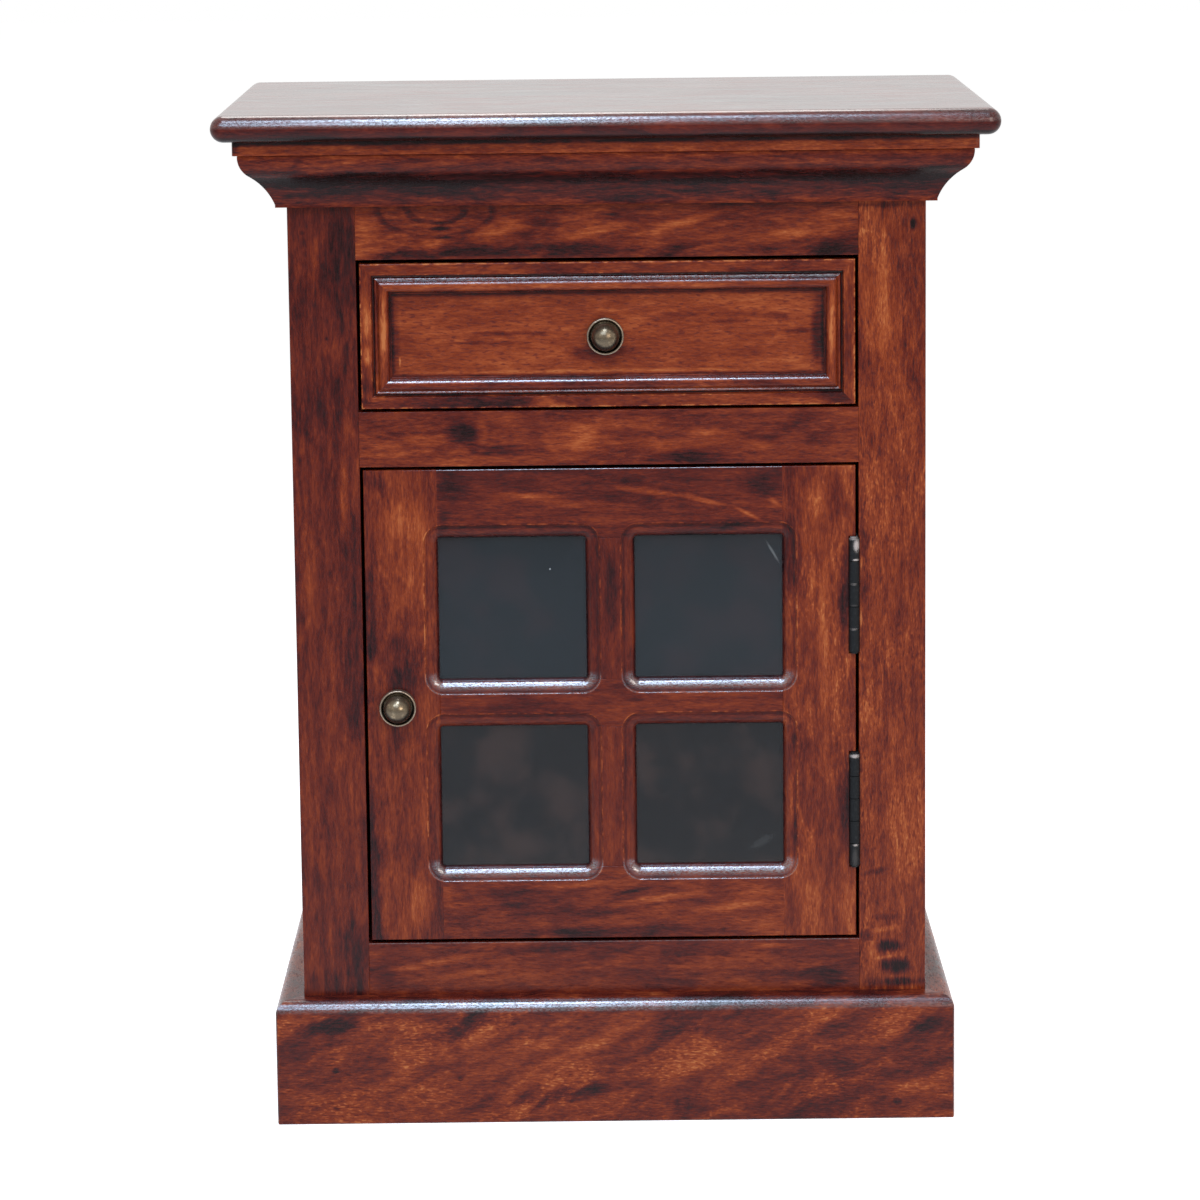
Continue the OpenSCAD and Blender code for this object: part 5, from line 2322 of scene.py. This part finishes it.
@dataclass
class Drawer:
    """The drawer with its moulded front.

    Attributes:
        model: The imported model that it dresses.
        half: Half the width of the front.
        bottom: The lower edge of the front.
        top: Its upper edge.
        board: The face of the front board.
        proud: How far the moulding stands out from the board.
        width: The width of the moulding.
        border: The width of the moulding's flat border.
        groove: The width of the groove inside the border.
        groove_z: The height of the groove's floor above the board.
        step_z: The height of the flat inside the groove.
        small_r: The radius of the small bead beside the groove.
        small_z: The height of its middle.
        bead: Where the large bead's middle lies, in from the outside.
        bead_r: The radius of the large bead's shoulders.
        bead_flat: The width of the large bead's flat top.
        lip_z: The height of the flat inside the large bead.
        soft: The radius of the outer edge.
        crisp: The radius of the border's inner edge and of the moulding's.
        nick: The size of the groove's eased corners.
        scratch: The size of the eased corner at the large bead's foot.
        ease: The rounding of the drawer's sides and back.
        ply_ease: The rounding of its bottom.
        front_ease: The rounding of its front board.
    """

    model: Model
    half: float = 0.1595
    bottom: float = 0.4725
    top: float = 0.5665
    board: float = -0.124
    proud: float = 0.006
    width: float = 0.020
    border: float = 0.0075
    groove: float = 0.0018
    groove_z: float = 0.0022
    step_z: float = 0.0036
    small_r: float = 0.0010
    small_z: float = 0.0034
    bead: float = 0.0150
    bead_r: float = 0.0029
    bead_flat: float = 0.0012
    lip_z: float = 0.0012
    soft: float = 0.0008
    crisp: float = 0.0005
    nick: float = 0.0003
    scratch: float = 0.0002
    ease: float = 0.0006
    ply_ease: float = 0.0003
    front_ease: float = 0.0004

    def section(self) -> list[Flat]:
        """Works out the moulding's section.

        Returns:
            Points as (distance in from the drawer's edge, height above the board).
        """
        soft, crisp, nick, scratch = self.soft, self.crisp, self.nick, self.scratch
        step = self.border + self.groove
        points = [(0.0, 0.0), (0.0, self.proud - soft)]
        points += [(soft * (1 - math.cos(a)), self.proud - soft * (1 - math.sin(a))) for a in SOFT_TURNS]
        points += [(soft, self.proud), (self.border - crisp, self.proud)]
        inward, down = crisp * (1 - math.sin(CRISP_TURN)), crisp * (1 - math.cos(CRISP_TURN))
        points += [(self.border - inward, self.proud - down), (self.border, self.proud - crisp)]
        points += [(self.border, self.groove_z + nick), (self.border + nick, self.groove_z)]
        points += [(step - nick, self.groove_z), (step, self.groove_z + nick)]
        stop = math.asin((self.step_z - self.small_z) / self.small_r)
        points += arc((step + self.small_r, self.small_z), self.small_r, math.pi, stop, 10)
        crest = self.proud - self.bead_r
        begin = math.pi - math.asin((self.step_z - crest) / self.bead_r)
        left, right = self.bead - self.bead_flat / 2, self.bead + self.bead_flat / 2
        points += arc((left, crest), self.bead_r, begin, math.pi / 2, 9)
        points += arc((right, crest), self.bead_r, math.pi / 2, 0.0, 9)
        inner = right + self.bead_r
        points += [(inner, self.lip_z + scratch), (inner + scratch, self.lip_z)]
        points += [(self.width - crisp, self.lip_z), (self.width, self.lip_z - crisp)]
        return [*points, (self.width, 0.0)]

    def _length(self, name: str, turn: int) -> Piece:
        """Builds one length of the moulding and saws both mitres.

        Args:
            name: The piece's name.
            turn: 0 for the right, 1 for the bottom, 2 for the left and 3 for the top.

        Returns:
            The piece.
        """
        middle = Vector((0.0, self.board, (self.bottom + self.top) / 2))
        halves = (self.half, (self.top - self.bottom) / 2)
        across, along = halves if turn % 2 == 0 else halves[::-1]
        out = (Vector((1, 0, 0)), Vector((0, 0, -1)), Vector((-1, 0, 0)), Vector((0, 0, 1)))[turn]
        run = (Vector((0, 0, 1)), Vector((1, 0, 0)), Vector((0, 0, 1)), Vector((1, 0, 0)))[turn]
        points = [
            middle + out * (across - inward) - run * along + Vector((0.0, -height, 0.0))
            for inward, height in self.section()
        ]
        piece = Piece.outline(name, points).extrude(run * (2.0 * along))
        for end in (-1, 1):
            corner = middle + out * across + run * (end * along)
            piece.cut(corner, out * 1.0 - run * end)
        return piece

    def outline_frame(self, *lines: Contour) -> Frame:
        """Gives the drawer's outline for the wood's pattern.

        Args:
            lines: The lines beside the outline.

        Returns:
            The frame.
        """
        return Frame(
            middle=(0.0, (self.bottom + self.top) / 2 * PER_METRE),
            half=(self.half * PER_METRE, (self.top - self.bottom) / 2 * PER_METRE),
            corner=0.2,
            contours=lines,
        )

    def build(self) -> None:
        """Builds and dresses the drawer."""
        plain = (
            Contour(at=-0.4, reach=1.0, lift=0.62, broken=0.2),
            Contour(at=-7.4, reach=0.8, lift=0.60, broken=0.8),
            # Painted shade in the groove inside the border and at the moulding's inner foot
            Contour(at=-8.8, reach=1.2, lift=-0.40),
            Contour(at=-19.2, reach=1.2, lift=-0.30),
        )
        polished = {
            "top": (Contour(at=-11.0, reach=3.2, lift=0.0, gloss=2.6),),
            "bottom": (
                Contour(at=-10.4, reach=1.4, lift=0.0, gloss=1.5),
                Contour(at=-17.8, reach=1.6, lift=0.0, gloss=2.4),
            ),
        }
        for turn, place in enumerate(("right", "bottom", "left", "top")):
            node = "drawer_moulding_" + place
            wood = Timber(
                node, Grain.UPRIGHT if turn % 2 == 0 else Grain.RAIL, seed=2.7 + 1.3 * turn, tone=0.53,
                spread=0.15, clouds=0.7, rings=0.1, dashes=0.6,
                frame=self.outline_frame(*plain, *polished.get(place, ())), spots=MOULDING_MARKS_LIGHT_AND_SHADE,
            )
            piece = self._length(node + "_length", turn).smooth()
            piece.dress(wood.material(), "drawer", "chestnut_wood", node)
        # The dark band round the panel's edge inside the moulding is painted shade
        panel = Timber(
            "drawer_front", Grain.RAIL, seed=4.4, tone=0.64, spread=0.11, clouds=0.7, rings=0.0, dashes=1.0,
            frame=self.outline_frame(Contour(at=-20.0, reach=2.8, lift=-0.42)), spots=DRAWER_MARKS_LIGHT_AND_SHADE,
        )
        self.model.eased("drawer_front", panel.material(), "drawer", "chestnut_wood", self.front_ease)
        for name, grain, seed in (
            ("drawer_side_left", Grain.SIDE_RAIL, 3.5),
            ("drawer_side_right", Grain.SIDE_RAIL, 4.5),
            ("drawer_back", Grain.RAIL, 7.1),
        ):
            wood = Timber(name, grain, seed=seed, tone=0.5, spread=0.10, stain=UNSTAINED)
            self.model.eased(name, wood.material(), "drawer", "inside_wood", self.ease)
        floor = Timber(
            "drawer_bottom", Grain.FLAT, seed=8.4, tone=0.5, spread=0.10, stain=PLY_FACE, ring_gap=18.0
        )
        self.model.eased("drawer_bottom", floor.material(), "drawer", "plywood", self.ply_ease)
        steel = steel_finish("drawer_steel")
        knob = Knob(self.model, "drawer_knob", "drawer", mm(-1.6, -124.0, 517.9))
        knob.build(brass_finish(knob.at), steel)


@dataclass(frozen=True)
class Lamp:
    """A soft rectangular lamp.

    Attributes:
        name: Its name.
        place: Where it hangs.
        aim: The point it faces.
        size: Its width and height.
        power: Its power in watts.
        hue: Its colour.
    """

    name: str
    place: Point
    aim: Point
    size: Flat
    power: float
    hue: Colour

    def hang(self) -> None:
        """Hangs the lamp and turns it to the point it faces."""
        data = bpy.data.lights.new(self.name, "AREA")
        data.shape = "RECTANGLE"
        data.size, data.size_y = self.size
        data.energy = self.power
        data.color = self.hue
        lamp = bpy.data.objects.new(self.name, data)
        bpy.context.scene.collection.objects.link(lamp)
        lamp.location = self.place
        lamp.rotation_euler = (Vector(self.aim) - Vector(self.place)).to_track_quat("-Z", "Y").to_euler()


# The camera's sensor in millimetres, the floor and the lamps
SENSOR = 36.0
FLOOR_SIZE = 30.0
FLOOR_GRAIN = Pattern((0.02, 0.02, 0.02), detail=3.0)
FLOOR_GREYS = ((0.80, 0.80, 0.80), (0.82, 0.82, 0.82))
LAMPS = (
    Lamp(
        "overhead", place=(-0.1, -0.9, 2.3), aim=(-0.1, -0.3, 0.3), size=(0.62, 0.7), power=23.0,
        hue=(0.58, 0.76, 1.0),
    ),
    Lamp(
        "behind", place=(-0.1, 1.1, 2.2), aim=(0.0, 0.0, 0.3), size=(0.9, 0.8), power=14.0,
        hue=(0.98, 0.95, 0.93),
    ),
    Lamp(
        "window", place=(-0.65, -1.9, 2.1), aim=(0.0, -0.1, 0.35), size=(1.5, 0.9), power=38.0,
        hue=(0.55, 0.75, 1.0),
    ),
    Lamp(
        "beside", place=(1.3, -2.4, 1.3), aim=(0.0, -0.1, 0.35), size=(1.3, 1.2), power=24.0,
        hue=(1.0, 0.91, 0.82),
    ),
)


@dataclass
class Studio:
    """A pale floor, soft lamps and a camera that looks the way the photograph does.

    Attributes:
        lens: The camera's focal length, in millimetres.
        stand: Where the camera stands.
        pitch: How far it looks down, in radians.
        yaw: How far it looks to the right, in radians.
        roll: How far it is tipped, in radians.
        ambient: The light from all round.
        glow: How brightly the floor shows to the camera.
        glow_from: How far back the floor's own light sets in for reflections, in millimetres.
    """

    lens: float = 140.53
    stand: Point = (-0.00544, -3.13272, 0.866)
    pitch: float = 0.17153
    yaw: float = -0.00047
    roll: float = 0.01107
    ambient: float = 0.40
    glow: float = 0.68
    glow_from: Flat = (-1100.0, -500.0)

    def _camera(self) -> None:
        """Sets up the camera."""
        data = bpy.data.cameras.new("camera")
        data.lens = self.lens
        data.sensor_width = SENSOR
        camera = bpy.data.objects.new("camera", data)
        bpy.context.scene.collection.objects.link(camera)
        ahead = Vector((
            math.sin(self.yaw) * math.cos(self.pitch),
            math.cos(self.yaw) * math.cos(self.pitch),
            -math.sin(self.pitch),
        ))
        level = Vector((math.cos(self.yaw), -math.sin(self.yaw), 0.0))
        down = ahead.cross(level)
        right = math.cos(self.roll) * level + math.sin(self.roll) * down
        down = math.cos(self.roll) * down - math.sin(self.roll) * level
        turn = Matrix((right, -down, -ahead)).transposed()
        camera.matrix_world = Matrix.Translation(self.stand) @ turn.to_4x4()
        bpy.context.scene.camera = camera

    def _seen_white(self, shader: Shader) -> tuple[Signal, Signal]:
        """Tells rays that show the backdrop from those that carry light.

        Args:
            shader: The tree of the floor or the room.

        Returns:
            1 for the camera's rays, and 1 for those off gloss or through glass.
        """
        path = shader.node("ShaderNodeLightPath")
        camera = Signal(shader, path.outputs["Is Camera Ray"])
        glossy = Signal(shader, path.outputs["Is Glossy Ray"])
        through = Signal(shader, path.outputs["Is Transmission Ray"])
        return camera, glossy.most(through)

    def _world(self) -> None:
        """Lights the room softly and shows it white."""
        world = bpy.data.worlds.new("room")
        bpy.context.scene.world = world
        shader = Shader("room", world)
        camera, others = self._seen_white(shader)
        strength = camera.most(others) * (1.0 - self.ambient) + self.ambient
        values = {"Color": rgba((1.0, 1.0, 1.0)), "Strength": strength}
        light = shader.signal("ShaderNodeBackground", values=values)
        shader.node("ShaderNodeOutputWorld", values={"Surface": light})

    def _floor(self) -> None:
        """Lays a pale floor that keeps the shadow."""
        Piece.clear_bench()
        bpy.ops.mesh.primitive_plane_add(size=FLOOR_SIZE, location=(0.0, 0.0, 0.0))
        floor = Piece("studio_floor", bpy.context.object)
        shader = Shader("pale_floor")
        place = shader.place()
        grain = shader.noise(place, FLOOR_GRAIN)
        matt = shader.signal("ShaderNodeBsdfDiffuse", values={"Color": shader.blend(grain, *FLOOR_GREYS)})
        camera, others = self._seen_white(shader)
        behind = shader.split(place)[1].rise(*self.glow_from)
        glow = camera.most(others * behind) * self.glow
        white = shader.signal("ShaderNodeEmission", values={"Color": rgba((1.0, 1.0, 1.0)), "Strength": glow})
        both = shader.signal("ShaderNodeAddShader", values={0: matt, 1: white})
        shader.node("ShaderNodeOutputMaterial", values={"Surface": both})
        floor.thing.data.materials.append(shader.owner)

    def build(self) -> None:
        """Sets up the camera, the floor, the lamps and the room."""
        bpy.context.scene.view_settings.view_transform = "Standard"
        self._camera()
        self._floor()
        self._world()
        for lamp in LAMPS:
            lamp.hang()


def main() -> None:
    """Builds the cupboard round its frame, one sub-assembly after another."""
    logging.basicConfig(level=logging.INFO, format="%(name)s: %(message)s")
    model = Model(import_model())
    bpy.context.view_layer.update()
    Studio().build()
    TopAndCornice(model).build()
    FaceFrame(model).build()
    Plinth(model).build()
    Carcass(model).build()
    Hinges(model).build()
    Door(model).build()
    Drawer(model).build()


if __name__ == "__main__":
    main()
